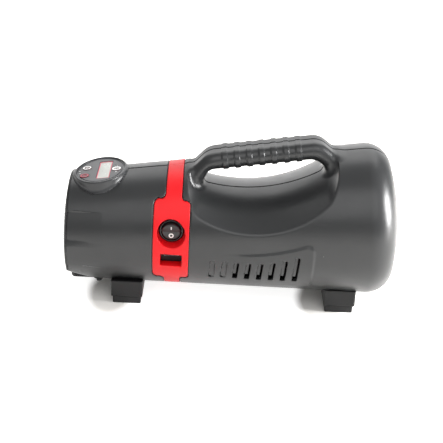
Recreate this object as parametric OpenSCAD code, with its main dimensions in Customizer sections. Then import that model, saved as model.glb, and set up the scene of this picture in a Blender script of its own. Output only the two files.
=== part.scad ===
// Jump starter pack with a tyre inflator and a nose lamp.
// The case is a cone lying on its side: +X runs from the lamp to the rear end,
// -Y is the side with the rocker switch, and the feet stand on z = 0.

/* [Case] */
// Overall length, lamp glass to rear end
body_len = 299; // [296:1:302]
// Radius at mid length, square to the sloping axis
mid_r = 58.4; // [58:0.1:58.8]
// Half angle of the cone, in degrees
taper = 4.04; // [4:0.01:4.08]
// Wall thickness of the case halves
wall = 3; // [2.8:0.1:3.1]
// Height of the case above the ground
clearance = 10; // [9.5:0.5:10.5]
// Radius of the rounded edge at the rear end
edge_r = 22; // [20:1:24]
// Radius of the dome that closes the rear end
dome_r = 205; // [180:5:240]
// Depth of the grip recesses at the nose rim
grip_depth = 1.6; // [1:0.1:2]

/* [Handle] */
// Width of the handle
handle_w = 31; // [29:1:32]
// Radius of the handle's upper edges
handle_round = 6; // [4:0.5:6]
// Number of raised rings on the grip
rings = 7; // [5:1:7]
// Spacing of the rings along the grip
ring_pitch = 10.63; // [10:0.1:11]
// Height of each ring above the grip
ring_h = 0.9; // [0.5:0.1:1]

/* [Trim] */
// Width of the narrow red ring
ring_w = 14.3; // [13:0.1:15]
// Width of the wide red panel
panel_w = 31.5; // [31:0.1:32]
// Thickness of the red trim
trim_t = 1.6; // [1.4:0.1:1.7]
// Radius of the round recess that holds the switch
recess_r = 12.3; // [12:0.1:12.5]

/* [Vents] */
// Number of vent slots on each side
vents = 8; // [6:1:8]
// Number of slots at the front end that are only marked in the wall
blind_vents = 2; // [1:1:3]
// Spacing of the slots
vent_pitch = 10.33; // [10:0.01:10.4]
// Width of a slot
vent_w = 4.4; // [4.2:0.1:4.6]

/* [Display pod] */
// Half length of the display face, along the case
pod_rx = 22.6; // [21.5:0.1:23]
// Half width of the display face, across the case
pod_ry = 28; // [27:0.1:28.5]
// Radius of a button
button_r = 4.1; // [3.8:0.1:4.2]
// How far a button goes in
button_travel = 0.6; // [0.4:0.1:0.8]

/* [Inflator] */
// Teeth on the crank gear
gear_teeth = 50; // [50:1:50]
// Teeth on the motor pinion
pinion_teeth = 10; // [10:1:10]
// Gear module
gear_m = 0.8; // [0.8:0.1:0.8]
// Distance from the crank axis to the crank pin
crank_throw = 7; // [6:0.5:7]
// Radius of the cylinder's bore
bore_r = 12; // [11:0.5:12]

/* [Hidden] */
$fn = 64;
tiny = 0.05;      // clearance of a fit
gap = 0.3;        // clearance of a loose joint line
far = 90;         // farther out than any wall
case_grey = "#47484a";
black = "#1b1b1c";
red = "#e8323c";
steel = "#b9bcc0";

slope = tan(taper);
axis_z = clearance + mid_r * cos(taper);
apex_x = -mid_r / slope * cos(taper);
rear_s = (body_len / 2 - dome_r) / cos(taper) + dome_r;
rim_x = -body_len / 2 + 9.5;
ring_x = -48.35;
panel_x = ring_x - 1.1;
panel_low = 31.8;
panel_high = 103.7;
switch_z = 77.7;
switch_y = -44.2;
usb_z = 52.8;
socket_z = 64;
jump_pin_r = 3.1;
outlet_z = 88;
jack_z = 42;
pod_x = -114.9;
pod_z = 111.6;
lcd_u = 3.4;
foot_front = -88;
foot_rear = 101.4;
foot_l = 28;
foot_w = 80;
pad_h = 7;
foot_top = 22.6;
screw_y = 22;
post_r = 4.6;
boss_at = [[-125, 30], [-125, 88], [-32, 25], [-74, 96], [66, 26], [67.4, 86], [140.5, 53], [140.5, 103]];
leg_x = -116;
leg_z = 10.3;
leg_tip = -141.5;
leg_block = 28.8;
lamp_z = axis_at(rim_x);
lens_r = 96.7;
flat_turn = -58;
flat_reach = 43.4;
flat_rise = 0.282;
flat_end = -121.8;
motor_y = 20;
crank_z = 38;
centre_d = gear_m * (gear_teeth + pinion_teeth) / 2;
motor_z = crank_z + sqrt(centre_d * centre_d - motor_y * motor_y);
gear_x = 29.5;
mesh_a = atan2(motor_y, crank_z - motor_z);
cyl_x = 46;
crown_z = crank_z + crank_throw + 34;

// Radius of an upright section of the case, and the height of its centre
function case_r(x) = (x - apex_x) * tan(2 * taper) / 2;
function axis_at(x) = clearance + case_r(x);
// Height of the point at angle a above level, on the section at x
function side_z(x, a) = axis_at(x) + case_r(x) * sin(a);
function unit(v) = v / norm(v);

// A corner at p, between a and b, rounded to radius r in n steps
function corner(a, p, b, r, n) = r <= 0 ? [p] :
    let (u = unit(a - p), v = unit(b - p), half = acos(u * v) / 2,
         c = p + unit(u + v) * r / sin(half),
         first = p + u * r / tan(half) - c,
         start = atan2(first.y, first.x),
         turn = (u.x * v.y - u.y * v.x > 0 ? -1 : 1) * (180 - 2 * half))
    [for (i = [0:n]) c + r * [cos(start + turn * i / n), sin(start + turn * i / n)]];

// A closed outline from [x, y, radius] corners
function rounded(list, n = 6) = [for (i = [0:len(list) - 1])
    let (k = len(list), a = list[(i + k - 1) % k], p = list[i], b = list[(i + 1) % k])
    each corner([a.x, a.y], [p.x, p.y], [b.x, b.y], p[2], n)];

function rect(w, h, r) = rounded([[-w/2, -h/2, r], [w/2, -h/2, r], [w/2, h/2, r], [-w/2, h/2, r]], 4);
function arc(c, r, a0, a1, n) = [for (i = [0:n]) let (a = a0 + (a1 - a0) * i / n) c + r * [cos(a), sin(a)]];
function ellipse(rx, ry) = [for (i = [0:47]) [rx * cos(i * 7.5), ry * sin(i * 7.5)]];

// ---- frames of reference ----
module on_axis() translate([0, 0, axis_z]) rotate([0, 90 - taper, 0]) children();
module along_x(x, y, z) translate([x, y, z]) rotate([0, 90, 0]) children();
module on_pod() translate([pod_x, 0, pod_z]) rotate([0, -2 * taper, 0]) children();
// An outline in x and z, run outwards along Y from y0 to y1 on the given side
module side_prism(side, y0, y1, points)
    scale_y(side) translate([0, y1, 0]) rotate([90, 0, 0]) linear_extrude(y1 - y0) polygon(points);
module scale_y(side) {
    if (side > 0) children();
    else mirror([0, 1, 0]) children();
}
// A rod along Y from y0 to y1 on the given side
module side_rod(side, x, z, r, y0, y1)
    scale_y(side) translate([x, y1, z]) rotate([90, 0, 0]) cylinder(r = r, h = y1 - y0);
module half_space(side) translate([-200, side > 0 ? 0 : -100, -20]) cube([400, 100, 200]);

// ---- case surfaces ----
// The closed cone of the case, drawn in by the given inset
module case_solid(inset) {
    dome_s = rear_s - dome_r;
    a0 = mid_r - edge_r / cos(taper);
    reach = dome_r - edge_r;
    qa = 1 + slope * slope;
    qb = 2 * (a0 * slope - dome_s);
    qc = a0 * a0 + dome_s * dome_s - reach * reach;
    edge_s = (-qb + sqrt(qb * qb - 4 * qa * qc)) / (2 * qa);
    edge_c = [a0 + slope * edge_s, edge_s];
    turn = atan2(edge_s - dome_s, edge_c.x);
    front = -160;
    on_axis() rotate_extrude($fn = 96) polygon(concat(
        [[0, front], [mid_r + slope * front - inset / cos(taper), front]],
        arc(edge_c, edge_r - inset, -taper, turn, 10),
        [for (i = [1:4]) let (a = turn + (90 - turn) * i / 4)
            [i == 4 ? 0 : (dome_r - inset) * cos(a), dome_s + (dome_r - inset) * sin(a)]]));
}

// The hand space under the handle, an hourglass cut about an axis low in the case
module scoop(grow) {
    low_z = 2.5;
    mid_c = [233.8, 9];
    mid = 135 + grow;
    nose = 15 + grow;
    tail = 20 + grow;
    nose_c = mid_c + [-sqrt(pow(120, 2) - pow(31.2, 2)), -31.2];
    tail_c = mid_c + [-sqrt(pow(115, 2) - pow(62.3, 2)), 62.3];
    nose_a = atan2(nose_c.y - mid_c.y, nose_c.x - mid_c.x) + 360;
    tail_a = atan2(tail_c.y - mid_c.y, tail_c.x - mid_c.x);
    translate([0, 0, low_z]) rotate([0, 90, 0]) rotate([0, 0, 128])
        rotate_extrude(angle = 104, $fn = 96) polygon(concat(
            [[180, nose_c.y - nose]],
            arc(nose_c, nose, 270, nose_a, 5),
            arc(mid_c, mid, nose_a, tail_a, 10),
            arc(tail_c, tail, tail_a, 90, 5),
            [[180, tail_c.y + tail]]));
}

// Flat on the lower flank of the nose, moved in by the given amount
module flank_flat(side, inset) scale_y(-side)
    on_axis() rotate([0, 0, -90 - flat_turn]) rotate([90, 0, 0]) linear_extrude(120, center = true)
        polygon([[flat_reach - flat_rise * 7.5 - inset, -152], [80, -152], [80, flat_end],
                 [flat_reach + flat_rise * (flat_end + 144.5) - inset, flat_end]]);

// Two tapered recesses and a flat a side that give the nose its grip
module grips(side) {
    s0 = -148;
    s1 = -112;
    flank_flat(side, 0);
    scale_y(-side) for (a = [[1, 39], [-62, -22]])
        on_axis() rotate([0, 0, -90 - a[1]]) rotate_extrude(angle = a[1] - a[0], $fn = 96)
            polygon([[mid_r + slope * s0 - grip_depth, s0], [mid_r + slope * s0 + 4, s0],
                     [mid_r + slope * s1 + 4, s1], [mid_r + slope * s1, s1]]);
}

// ---- handle ----
grip_slope = atan(0.16);
grip_mid = [23.5, 135];
grip_half = 7.6;
handle_outline = rounded([[-45, 109.4, 0], [-21.3, 135.7, 20], [74.7, 151, 16], [96, 134.9, 0],
    [88, 110, 0], [77.5, 136.1, 15], [-19.3, 120.7, 8.5], [-28, 102.5, 0]]);

module handle(side) intersection() {
    union() {
        intersection() {
            side_prism(side, 0, handle_w / 2, handle_outline);
            // rounds the upper edges along the slope of the grip
            along_grip(0) linear_extrude(260, center = true)
                polygon(rounded([[-grip_half, -handle_w/2, handle_round], [-grip_half, handle_w/2, handle_round],
                                 [60, handle_w/2, 0], [60, -handle_w/2, 0]], 5));
        }
        for (i = [0:rings - 1])
            along_grip((i - (rings - 1) / 2) * ring_pitch + 2.2)
                linear_extrude(4, center = true)
                    polygon(rect(2 * (grip_half + ring_h), handle_w + 2 * ring_h, handle_round));
    }
    half_space(side);
}
module along_grip(d)
    translate([grip_mid.x, 0, grip_mid.y]) rotate([0, 90 - grip_slope, 0]) translate([0, 0, d]) children();

// ---- openings of the case ----
panel_l = panel_x - panel_w / 2;
panel_r = panel_x + panel_w / 2;
function trim_outline(g) = rounded([
    [ring_x - ring_w/2 + g, 140, 0], [ring_x - ring_w/2 + g, panel_high - g, 4.2],
    [panel_l + g, panel_high - g, 4.6], [panel_l + g, panel_low + g, 4.6],
    [ring_x - ring_w/2 + g, panel_low + g, 4.2], [ring_x - ring_w/2 + g, 0, 0],
    [ring_x + ring_w/2 - g, 0, 0], [ring_x + ring_w/2 - g, panel_low + g, 3],
    [panel_r - g, panel_low + g, 3.6], [panel_r - g, panel_high - g, 3.6],
    [ring_x + ring_w/2 - g, panel_high - g, 3], [ring_x + ring_w/2 - g, 140, 0]], 4);

function vent_x(i) = -14 + vent_pitch * i;
function vent_top(i) = -13.7 + (i < 3 ? 0.25 : 0.44) * pow(i - 3, 2);
function vent_low_z(i) = side_z(vent_x(i), -33.7);
function vent_high_z(i) = side_z(vent_x(i) + 1.2, vent_top(i));
function vent_outline(i) = [[vent_x(i) - vent_w/2, vent_low_z(i)], [vent_x(i) + vent_w/2, vent_low_z(i) - 0.4],
    [vent_x(i) + 1.2 + vent_w/2, vent_high_z(i)], [vent_x(i) + 1.2 - vent_w/2, vent_high_z(i)]];

module vent_cuts(side) for (i = [0:vents - 1]) {
    if (i < blind_vents)
        difference() {
            side_prism(side, 30, far, vent_outline(i));
            case_solid(0.6);
        }
    else
        side_prism(side, 30, far, vent_outline(i));
}

module trim_seat(side) difference() {
    side_prism(side, -1, far, trim_outline(0));
    case_solid(trim_t + 0.2);
}

// Fittings that pass through the wall on each side
module wall_cuts(side) {
    if (side < 0) {
        side_rod(side, panel_x, switch_z, recess_r + 1.9, 30, far);
        side_prism(side, 30, far, [for (p = rect(22.4, 16, 1)) p + [panel_x + 0.5, usb_z]]);
    } else {
        side_prism(side, 20, far, [for (p = rect(26.6, 16.6, 2)) p + [panel_x, socket_z]]);
        side_rod(side, panel_x, outlet_z, 7.6, 30, far);
        side_rod(side, panel_x, jack_z, 6.1, 30, far);
    }
}

// Screw posts that meet at the middle of the case
module posts(side) color(case_grey) difference() {
    intersection() {
        union() {
            for (p = boss_at)
                side_rod(side, p.x, p.y, post_r, 0, far);
            for (x = [foot_front, foot_rear])
                translate([x, side * screw_y, 5]) cylinder(r = 3.6, h = 21);
        }
        hollowed(wall);
        half_space(side);
    }
    flank_flat(side, wall);
    post_holes(side);
}
module switch_side_posts() posts(-1);
module outlet_side_posts() posts(1);

// The thick place in the floor of the case that carries the prop leg
module leg_seat(side) intersection() {
    translate([leg_tip, side > 0 ? 0 : -leg_block / 2, clearance - 6])
        cube([leg_x + 7 - leg_tip, leg_block / 2, 12.6]);
    case_solid(1);
}

module post_holes(side) {
    for (p = boss_at) {
        side_rod(side, p.x, p.y, 1.5 + tiny, -1, 10);
        if (side > 0)
            side_rod(side, p.x, p.y, 3, 8, far);
    }
    for (x = [foot_front, foot_rear])
        translate([x, side * screw_y, -1]) cylinder(r = 1.5 + tiny, h = 26);
}

// Pocket and pin holes of the prop leg
module leg_pocket() {
    translate([leg_tip - 10, -9.2, -5]) cube([leg_x + 3.6 - leg_tip + 10, 18.4, 5 + 13.4]);
    translate([leg_x, 20, leg_z]) rotate([90, 0, 0]) cylinder(r = 1.5 + tiny, h = 40);
}

module leg_ears(side) intersection() {
    translate([leg_x, 0, leg_z]) rotate([90, 0, 0]) cylinder(r = 3.6, h = 25.2, center = true);
    half_space(side);
}

// The case inside the given inset, less the hand space
module hollowed(inset) difference() {
    case_solid(inset);
    scoop(inset);
}

module case_half(side) difference() {
    union() {
        intersection() {
            difference() {
                hollowed(0);
                difference() {
                    hollowed(wall);
                    flank_flat(side, wall);
                }
                grips(side);
            }
            half_space(side);
        }
        leg_seat(side);
        leg_ears(side);
    }
    flank_flat(side, 0);
    translate([rim_x - 60, -far, -20]) cube([60, 2 * far, 200]);
    trim_seat(side);
    wall_cuts(side);
    vent_cuts(side);
    post_holes(side);
    leg_pocket();
    pod_oval(-2.4, -16, 6);
    pod_oval(-1, -1.9, 6);
}

// The part of each half that dips under the handle
module saddle_zone() translate([-38.5, -far, 84]) cube([131, 2 * far, far]);

module shell(side) color(case_grey) difference() {
    case_half(side);
    saddle_zone();
}
module switch_side_shell() shell(-1);
module outlet_side_shell() shell(1);

module saddle(side) color(case_grey) intersection() {
    case_half(side);
    saddle_zone();
}
module switch_side_saddle() saddle(-1);
module outlet_side_saddle() saddle(1);

module handle_half(side) color(case_grey) difference() {
    handle(side);
    hollowed(0);
    trim_seat(side);
}
module switch_side_handle() handle_half(-1);
module outlet_side_handle() handle_half(1);

// ---- red trim ----
module trim_skin(side) intersection() {
    difference() {
        case_solid(0);
        case_solid(trim_t);
    }
    side_prism(side, 0, far, trim_outline(gap));
}

module switch_side_trim() color(red) difference() {
    union() {
        trim_skin(-1);
        intersection() {
            case_solid(0.4);
            union() {
                side_rod(-1, panel_x, switch_z, recess_r + 1.6, -switch_y - 2, far);
                side_prism(-1, 40, far, [for (p = rect(21.8, 15.4, 1)) p + [panel_x + 0.5, usb_z]]);
            }
        }
    }
    side_rod(-1, panel_x, switch_z, recess_r, -switch_y, far);
    side_rod(-1, panel_x, switch_z, 10.1, 30, far);
    side_prism(-1, 42, far, [for (p = rect(18.8, 12.4, 0.8)) p + [panel_x + 0.5, usb_z]]);
    side_prism(-1, 30, far, [for (p = rect(15.4, 7.4, 0.6)) p + [panel_x + 0.5, usb_z + 2.2]]);
}

module outlet_side_trim() color(red) difference() {
    union() {
        trim_skin(1);
        // ears that carry the cap of the jump socket
        for (x = [panel_x - 10.4, panel_x + 8.3])
            difference() {
                translate([x, 50, cap_hinge_z - 2]) cube([2.1, cap_hinge_y + 2 - 50, 4]);
                along_x(x - 1, cap_hinge_y, cap_hinge_z) cylinder(r = 0.9 + tiny, h = 5);
                case_solid(1);
            }
    }
    side_prism(1, 20, far, [for (p = rect(26.2, 16.2, 2)) p + [panel_x, socket_z]]);
    side_rod(1, panel_x, outlet_z, 7.3, 30, far);
    side_rod(1, panel_x, jack_z, 5.8, 30, far);
}

// ---- nose lamp ----
module nose_turn(points) along_x(0, 0, lamp_z) rotate_extrude($fn = 96) polygon(points);

module front_bezel() color(case_grey) difference() {
    nose_turn(rounded([[34, -143.6, 0.5], [41, -142.9, 1.5], [case_r(rim_x) - 0.3, -141.5, 1.1],
        [case_r(rim_x) - 0.3, rim_x - 0.2, 0], [case_r(rim_x) - wall - 0.4, rim_x - 0.2, 0],
        [case_r(rim_x) - wall - 0.4, rim_x + 6, 0], [case_r(rim_x) - wall - 2.6, rim_x + 6, 0],
        [case_r(rim_x) - wall - 2.6, -140.6, 0], [37.2, -140.6, 0], [37.2, -142.4, 0], [34, -142.4, 0]], 4));
    translate([-170, -9.6, -10]) cube([40, 19.2, 24]);
    translate([rim_x - 0.2, -leg_block / 2 - gap, -10]) cube([10, leg_block + 2 * gap, 27]);
    for (side = [-1, 1]) {
        flank_flat(side, 0);
        intersection() {
            flank_flat(side, wall + gap);
            translate([rim_x - 0.2, -far, -20]) cube([20, 2 * far, 200]);
        }
    }
}

module lamp_lens() color("#dfe6ea", 0.5) intersection() {
    nose_turn([[0, -151], [33.8, -151], [33.8, -142.2], [36.9, -142.2], [36.9, -140.8], [0, -140.8]]);
    along_x(-body_len / 2 + lens_r, 0, lamp_z) sphere(r = lens_r, $fn = 128);
}

module lamp_reflector() color("#d8dadd") nose_turn([
    [36.8, -140.5], [36.8, -139], [36, -139], [13.2, -119], [9, -119], [9, -120.2], [12, -120.2], [35, -140.5]]);

module lamp_board() color("#2c6a3c") nose_turn([[0, -118.7], [15, -118.7], [15, -117.1], [0, -117.1]]);

module lamp_leds() color("#f2e27a") for (i = [0:6])
    translate([-118.7, i == 0 ? 0 : 5.6 * cos(i * 60), lamp_z + (i == 0 ? 0 : 5.6 * sin(i * 60))])
        intersection() {
            sphere(r = 2.4, $fn = 32);
            translate([-5, -5, -5]) cube([5, 10, 10]);
        }

// ---- display pod ----
module pod_oval(grow, z0, z1)
    on_pod() translate([0, 0, z0]) linear_extrude(z1 - z0) polygon(ellipse(pod_rx + grow, pod_ry + grow));

module display_pod() color(case_grey) difference() {
    union() {
        difference() {
            pod_oval(0.8, -13, 0.6);
            case_solid(0);
        }
        pod_oval(-3.2, -14, 0);
    }
    pod_oval(-4.8, -12.6, 5);
    pod_oval(-1.2, -1.7, 5);
    on_pod() for (b = buttons)
        button_hole(b.x, b.y, button_r + gap);
}

module button_hole(u, v, r) translate([u, v, -3]) cylinder(r = r, h = 6);
buttons = [[-12.9, 6.2], [-13.3, -10.6], [14, -0.6]];

module display_face() color("#3c3d40") difference() {
    pod_oval(-1.4, -1.6, 0);
    on_pod() {
        for (b = buttons)
            button_hole(b.x, b.y, button_r + 0.2);
        translate([lcd_u, 0, -3]) linear_extrude(6) polygon(rect(11.8, 36.6, 0.6));
    }
}

module lcd_module() color("#e9e4e2") on_pod() {
    translate([lcd_u, 0, -1.7]) linear_extrude(1.3) polygon(rect(11.4, 36.2, 0.5));
    translate([lcd_u - 0.3, 0, -4.2]) linear_extrude(2.5) polygon(rect(13, 38.4, 0.5));
}

module display_board() color("#2c6a3c") on_pod()
    translate([0, 0, -7.6]) linear_extrude(1.6) polygon(ellipse(pod_rx - 6, pod_ry - 6));

module button(i) color("#59363a") on_pod() translate([buttons[i].x, buttons[i].y, 0]) {
    translate([0, 0, -4.6]) cylinder(r = 2, h = 3);
    translate([0, 0, -1.6]) cylinder(r = button_r, h = 2);
}
module mode_button() button(0);
module unit_button() button(1);
module power_button() button(2);

// ---- vents ----
module baffle(side) color(black) difference() {
    intersection() {
        difference() {
            case_solid(wall + gap);
            case_solid(wall + gap + 2);
        }
        side_prism(side, 20, far, rounded([[-19, 32, 3], [68, 32, 3], [68, 69, 3], [-19, 69, 3]], 3));
    }
    for (i = [blind_vents:vents - 1])
        side_prism(side, 20, far, [[vent_x(i) - 1.6, vent_low_z(i) + 0.2], [vent_x(i) + 2.2, vent_low_z(i)],
            [vent_x(i) + 3.4, vent_high_z(i)], [vent_x(i) + 2.2, vent_high_z(i)],
            [vent_x(i) + 1.2, vent_low_z(i) + 4.6], [vent_x(i) - 1.4, vent_low_z(i) + 4.6]]);
}
module switch_side_baffle() baffle(-1);
module outlet_side_baffle() baffle(1);

// ---- switch and USB ----
rocker_y = switch_y - 0.8;
module switch_body() color(black) difference() {
    union() {
        side_rod(-1, panel_x, switch_z, 11.2, -switch_y + 0.05, -switch_y + 2.2);
        side_rod(-1, panel_x, switch_z, 10, 27, -switch_y + 1);
        for (x = [-5, 5])
            translate([panel_x + x - 0.4, -27, switch_z - 3]) cube([0.8, 7, 6]);
    }
    translate([panel_x, rocker_y, switch_z]) sphere(r = 8.7);
    side_rod(-1, panel_x, switch_z, 8.7, -rocker_y, far);
    translate([0, rocker_y, switch_z]) rotate([0, 90, 0])
        translate([0, 0, panel_x - 9.4]) cylinder(r = 1.2 + tiny, h = 18.8, $fn = 32);
}

module switch_rocker() color(black) {
    translate([panel_x, rocker_y, switch_z]) rotate([10, 0, 0]) {
        intersection() {
            sphere(r = 8.4);
            translate([-10, -3.4, -10]) cube([20, 6, 20]);
        }
        rotate([0, 90, 0]) cylinder(r = 1.2, h = 18.4, center = true, $fn = 32);
    }
}

module usb_socket() color(black) difference() {
    translate([panel_x + 0.5 - 7.5, -42.6, usb_z + 2.2 - 3.5]) cube([15, 14, 7]);
    translate([panel_x + 0.5 - 6.2, -50, usb_z + 2.2 - 2.6]) cube([12.4, 18, 5.2]);
    translate([panel_x + 0.5 - 6, -50, usb_z + 4]) cube([12, 10, 0.8]);
}

module usb_board() color("#2c6a3c")
    translate([panel_x - 11, -39.6, usb_z - 3]) difference() {
        cube([23, 22, 1.6]);
        translate([3, 18, -1]) cylinder(r = 1.4, h = 4);
    }

// ---- outlet side fittings ----
module jump_socket() color("#2a4d8f") difference() {
    intersection() {
        side_prism(1, 24, far, [for (p = rect(25.6, 15.6, 2)) p + [panel_x, socket_z]]);
        case_solid(0.4);
    }
    side_prism(1, 44, far, [for (p = rect(22.4, 12.4, 1.6)) p + [panel_x, socket_z]]);
    for (x = [-5.6, 5.6])
        side_rod(1, panel_x + x, socket_z, jump_pin_r, 32, far);
}

cap_hinge_z = socket_z + 10.6;
module socket_cap() color(black) {
    intersection() {
        difference() {
            case_solid(-2.4);
            case_solid(-gap);
        }
        side_prism(1, 20, far, [for (p = rect(27, 17, 3)) p + [panel_x, socket_z - 1.3]]);
    }
    along_x(panel_x - 8, cap_hinge_y, cap_hinge_z) cylinder(r = 1.4, h = 16);
    along_x(panel_x - 10, cap_hinge_y, cap_hinge_z) cylinder(r = 0.9, h = 20);
    translate([panel_x - 8, cap_hinge_y - 0.9, socket_z + 5.5]) cube([16, 1.8, 5.1]);
}
cap_hinge_y = case_r(panel_x) * cos(asin((cap_hinge_z - axis_at(panel_x)) / case_r(panel_x))) + 2.1;

module charge_jack() color(black) difference() {
    union() {
        side_rod(1, panel_x, jack_z, 5.4, 34, 50.5);
        side_rod(1, panel_x, jack_z, 4, 28, 34);
    }
    side_rod(1, panel_x, jack_z, 2.8, 38, far);
}

module air_outlet() color("#c9a24b") difference() {
    union() {
        side_rod(1, panel_x, outlet_z, 7, 46, 50.6);
        side_rod(1, panel_x, outlet_z, 4.1, 50, 60);
        side_rod(1, panel_x, outlet_z, 4.6, 54.6, 56.2);
        side_rod(1, panel_x, outlet_z, 1.9, 38, 47);
    }
    side_rod(1, panel_x, outlet_z, 1.2, 30, far);
}

// ---- feet ----
module foot(x) color(black) difference() {
    translate([x, 0, pad_h]) linear_extrude(foot_top - pad_h) polygon(rect(foot_l, foot_w, 1.5));
    case_solid(0);
    for (s = [-1, 1]) {
        translate([x, s * screw_y, 0]) cylinder(r = 3.1, h = pad_h + 2.4);
        translate([x, s * screw_y, 0]) cylinder(r = 1.5 + tiny, h = 40);
    }
}
module front_foot() foot(foot_front);
module rear_foot() foot(foot_rear);

module pad(x) color("#2f2f30") translate([x, 0, 0])
    linear_extrude(pad_h) polygon(rect(foot_l - 3, foot_w - 2.4, 1.2));
module front_pad() pad(foot_front);
module rear_pad() pad(foot_rear);

module foot_screws() color(steel) for (x = [foot_front, foot_rear], s = [-1, 1])
    translate([x, s * screw_y, pad_h]) {
        cylinder(r = 2.9, h = 2.3);
        translate([0, 0, 2]) cylinder(r = 1.5, h = 13);
    }

module shell_screws() color(steel) for (p = boss_at) {
    difference() {
        side_rod(1, p.x, p.y, 2.7, 8.05, 10.4);
        side_rod(1, p.x, p.y, 0.9, 9.4, 12);
    }
    translate([p.x, 8.1, p.y]) rotate([90, 0, 0]) cylinder(r = 1.5, h = 16);
}

// ---- prop leg ----
module prop_leg() color(black) difference() {
    union() {
        translate([0, 8.6, 0]) rotate([90, 0, 0]) linear_extrude(17.2) polygon(rounded([
            [leg_tip, 7.7, 1.6], [leg_x, 7.7, 0], [leg_x, 13, 0], [leg_tip, 13, 2.4]], 5));
        translate([leg_x, 8.6, leg_z]) rotate([90, 0, 0]) cylinder(r = 2.7, h = 17.2);
    }
    translate([leg_x, 20, leg_z]) rotate([90, 0, 0]) cylinder(r = 1.5 + tiny, h = 40);
    for (s = [-1, 1])
        translate([leg_tip, s * 8.6, 0]) rotate([0, 0, 45]) cube([4.2, 4.2, 60], center = true);
}
module prop_pin() color(steel) translate([leg_x, 12.4, leg_z]) rotate([90, 0, 0]) cylinder(r = 1.5, h = 24.8);

// ---- battery ----
cell_r = 9.2;
cell_x0 = 70.4;
cell_len = 65;
cell_z = 61;
cell_places = [for (row = [-1, 1], i = [-1.5:1:1.5]) [i * 19.6, cell_z + row * 9.8]];

module battery_cells() color("#2f7d6b") for (c = cell_places)
    along_x(cell_x0, c.x, c.y) cylinder(r = cell_r, h = cell_len);

module cell_holders() color("#2b2b2d") for (x = [cell_x0 + 3, cell_x0 + cell_len - 8])
    difference() {
        translate([x, 0, cell_z]) rotate([90, 0, 90]) linear_extrude(5) polygon(rect(83, 43, 5));
        for (c = cell_places)
            along_x(x - 1, c.x, c.y) cylinder(r = cell_r + tiny, h = 7);
    }

module bus_bars() color(steel) for (x = [cell_x0 - 0.5, cell_x0 + cell_len + 0.1], i = [-1, 1])
    translate([x, i * 19.6, cell_z]) rotate([90, 0, 90]) linear_extrude(0.4) polygon(rect(32, 30, 3));

// ---- electronics ----
board_z = 30;
module main_board() color("#2c6a3c") difference() {
    translate([-104, -27, board_z]) cube([66, 54, 1.6]);
    for (x = [-100, -42], y = [-23, 23])
        translate([x, y, board_z - 1]) cylinder(r = 1.7, h = 4);
}
module power_relay() color("#22252b") for (y = [-15, 3])
    translate([-92, y, board_z + 1.65]) cube([20, 15, 17]);
module capacitors() color("#23345c") for (i = [0:2])
    translate([-60, -16 + 13 * i, board_z + 1.65]) cylinder(r = 5, h = 16);

// ---- inflator ----
// A toothed wheel with straight flanks; slack narrows every tooth
function wheel(teeth, slack) = [for (i = [0:teeth - 1], k = [0:3])
    let (step = 360 / teeth, r = gear_m * teeth / 2,
         w = [-0.36, -0.14, 0.14, 0.36][k] * step * slack,
         d = k == 1 || k == 2 ? 0.8 * gear_m : -1.1 * gear_m)
    (r + d) * [cos(i * step + w), sin(i * step + w)]];

module inflator_frame() color("#8c9094") {
    difference() {
        intersection() {
            case_solid(wall + gap);
            translate([23.6, -20, 14]) cube([4.8, 58, 66]);
        }
        along_x(20, 0, crank_z) cylinder(r = 6.55, h = 12);
        along_x(20, motor_y, motor_z) cylinder(r = 5.3, h = 12);
    }
    difference() {
        translate([28.4, -9, 64]) cube([7, 18, 14]);
        translate([cyl_x, 0, 60]) cylinder(r = 14 + tiny, h = 30);
    }
}

module motor_can() color(steel) difference() {
    along_x(-26, motor_y, motor_z) cylinder(r = 17.9, h = 49.5);
    along_x(-24.5, motor_y, motor_z) cylinder(r = 16.5, h = 46.5);
    along_x(-30, motor_y, motor_z) cylinder(r = 3.05, h = 60);
}

module motor_bushes() color("#c9a24b") for (x = [-26, 21.9])
    difference() {
        along_x(x, motor_y, motor_z) cylinder(r = 3, h = 1.6);
        along_x(x - 1, motor_y, motor_z) cylinder(r = 1.64, h = 4);
    }

module motor_armature() color("#9a5a34") along_x(0, motor_y, motor_z) {
    translate([0, 0, -36]) cylinder(r = 1.59, h = 72.6);
    translate([0, 0, -18]) cylinder(r = 13.5, h = 32);
    translate([0, 0, -22]) cylinder(r = 5, h = 38);
}

module motor_pinion() color(steel) along_x(gear_x + 0.4, motor_y, motor_z) rotate([0, 0, mesh_a + 180 + 180 / pinion_teeth])
    linear_extrude(6.2) difference() {
        polygon(wheel(pinion_teeth, 0.86));
        circle(r = 1.6);
    }

module cooling_fan() color(black) along_x(-35.5, motor_y, motor_z) difference() {
    union() {
        cylinder(r = 5, h = 8);
        for (i = [0:5])
            rotate([0, 0, i * 60]) translate([3, 0, 4]) rotate([30, 0, 0])
                translate([0, -0.6, -3]) cube([12.4, 1.2, 6]);
    }
    translate([0, 0, -1]) cylinder(r = 1.6, h = 12);
}

module crank_bearing() color(steel) difference() {
    along_x(23.7, 0, crank_z) cylinder(r = 6.5, h = 4.6);
    along_x(20, 0, crank_z) cylinder(r = 3.04, h = 12);
}

module crank_gear() color("#d9d4c7") {
    along_x(gear_x, 0, crank_z) rotate([0, 0, mesh_a]) linear_extrude(6) polygon(wheel(gear_teeth, 0.9));
    along_x(21, 0, crank_z) cylinder(r = 3, h = 9);
    along_x(gear_x + 5, 0, crank_z + crank_throw) cylinder(r = 2.5, h = 8.5);
}

module piston_rod() color("#c4c7ca") {
    difference() {
        union() {
            along_x(cyl_x - 2.5, 0, crank_z + crank_throw) cylinder(r = 5.5, h = 5);
            translate([cyl_x - 2.5, -3, crank_z + crank_throw + 4]) cube([5, 6, 29]);
        }
        along_x(cyl_x - 5, 0, crank_z + crank_throw) cylinder(r = 2.6, h = 10);
    }
    translate([cyl_x, 0, crown_z - 2.5]) cylinder(r = bore_r - 0.08, h = 5);
}

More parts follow.
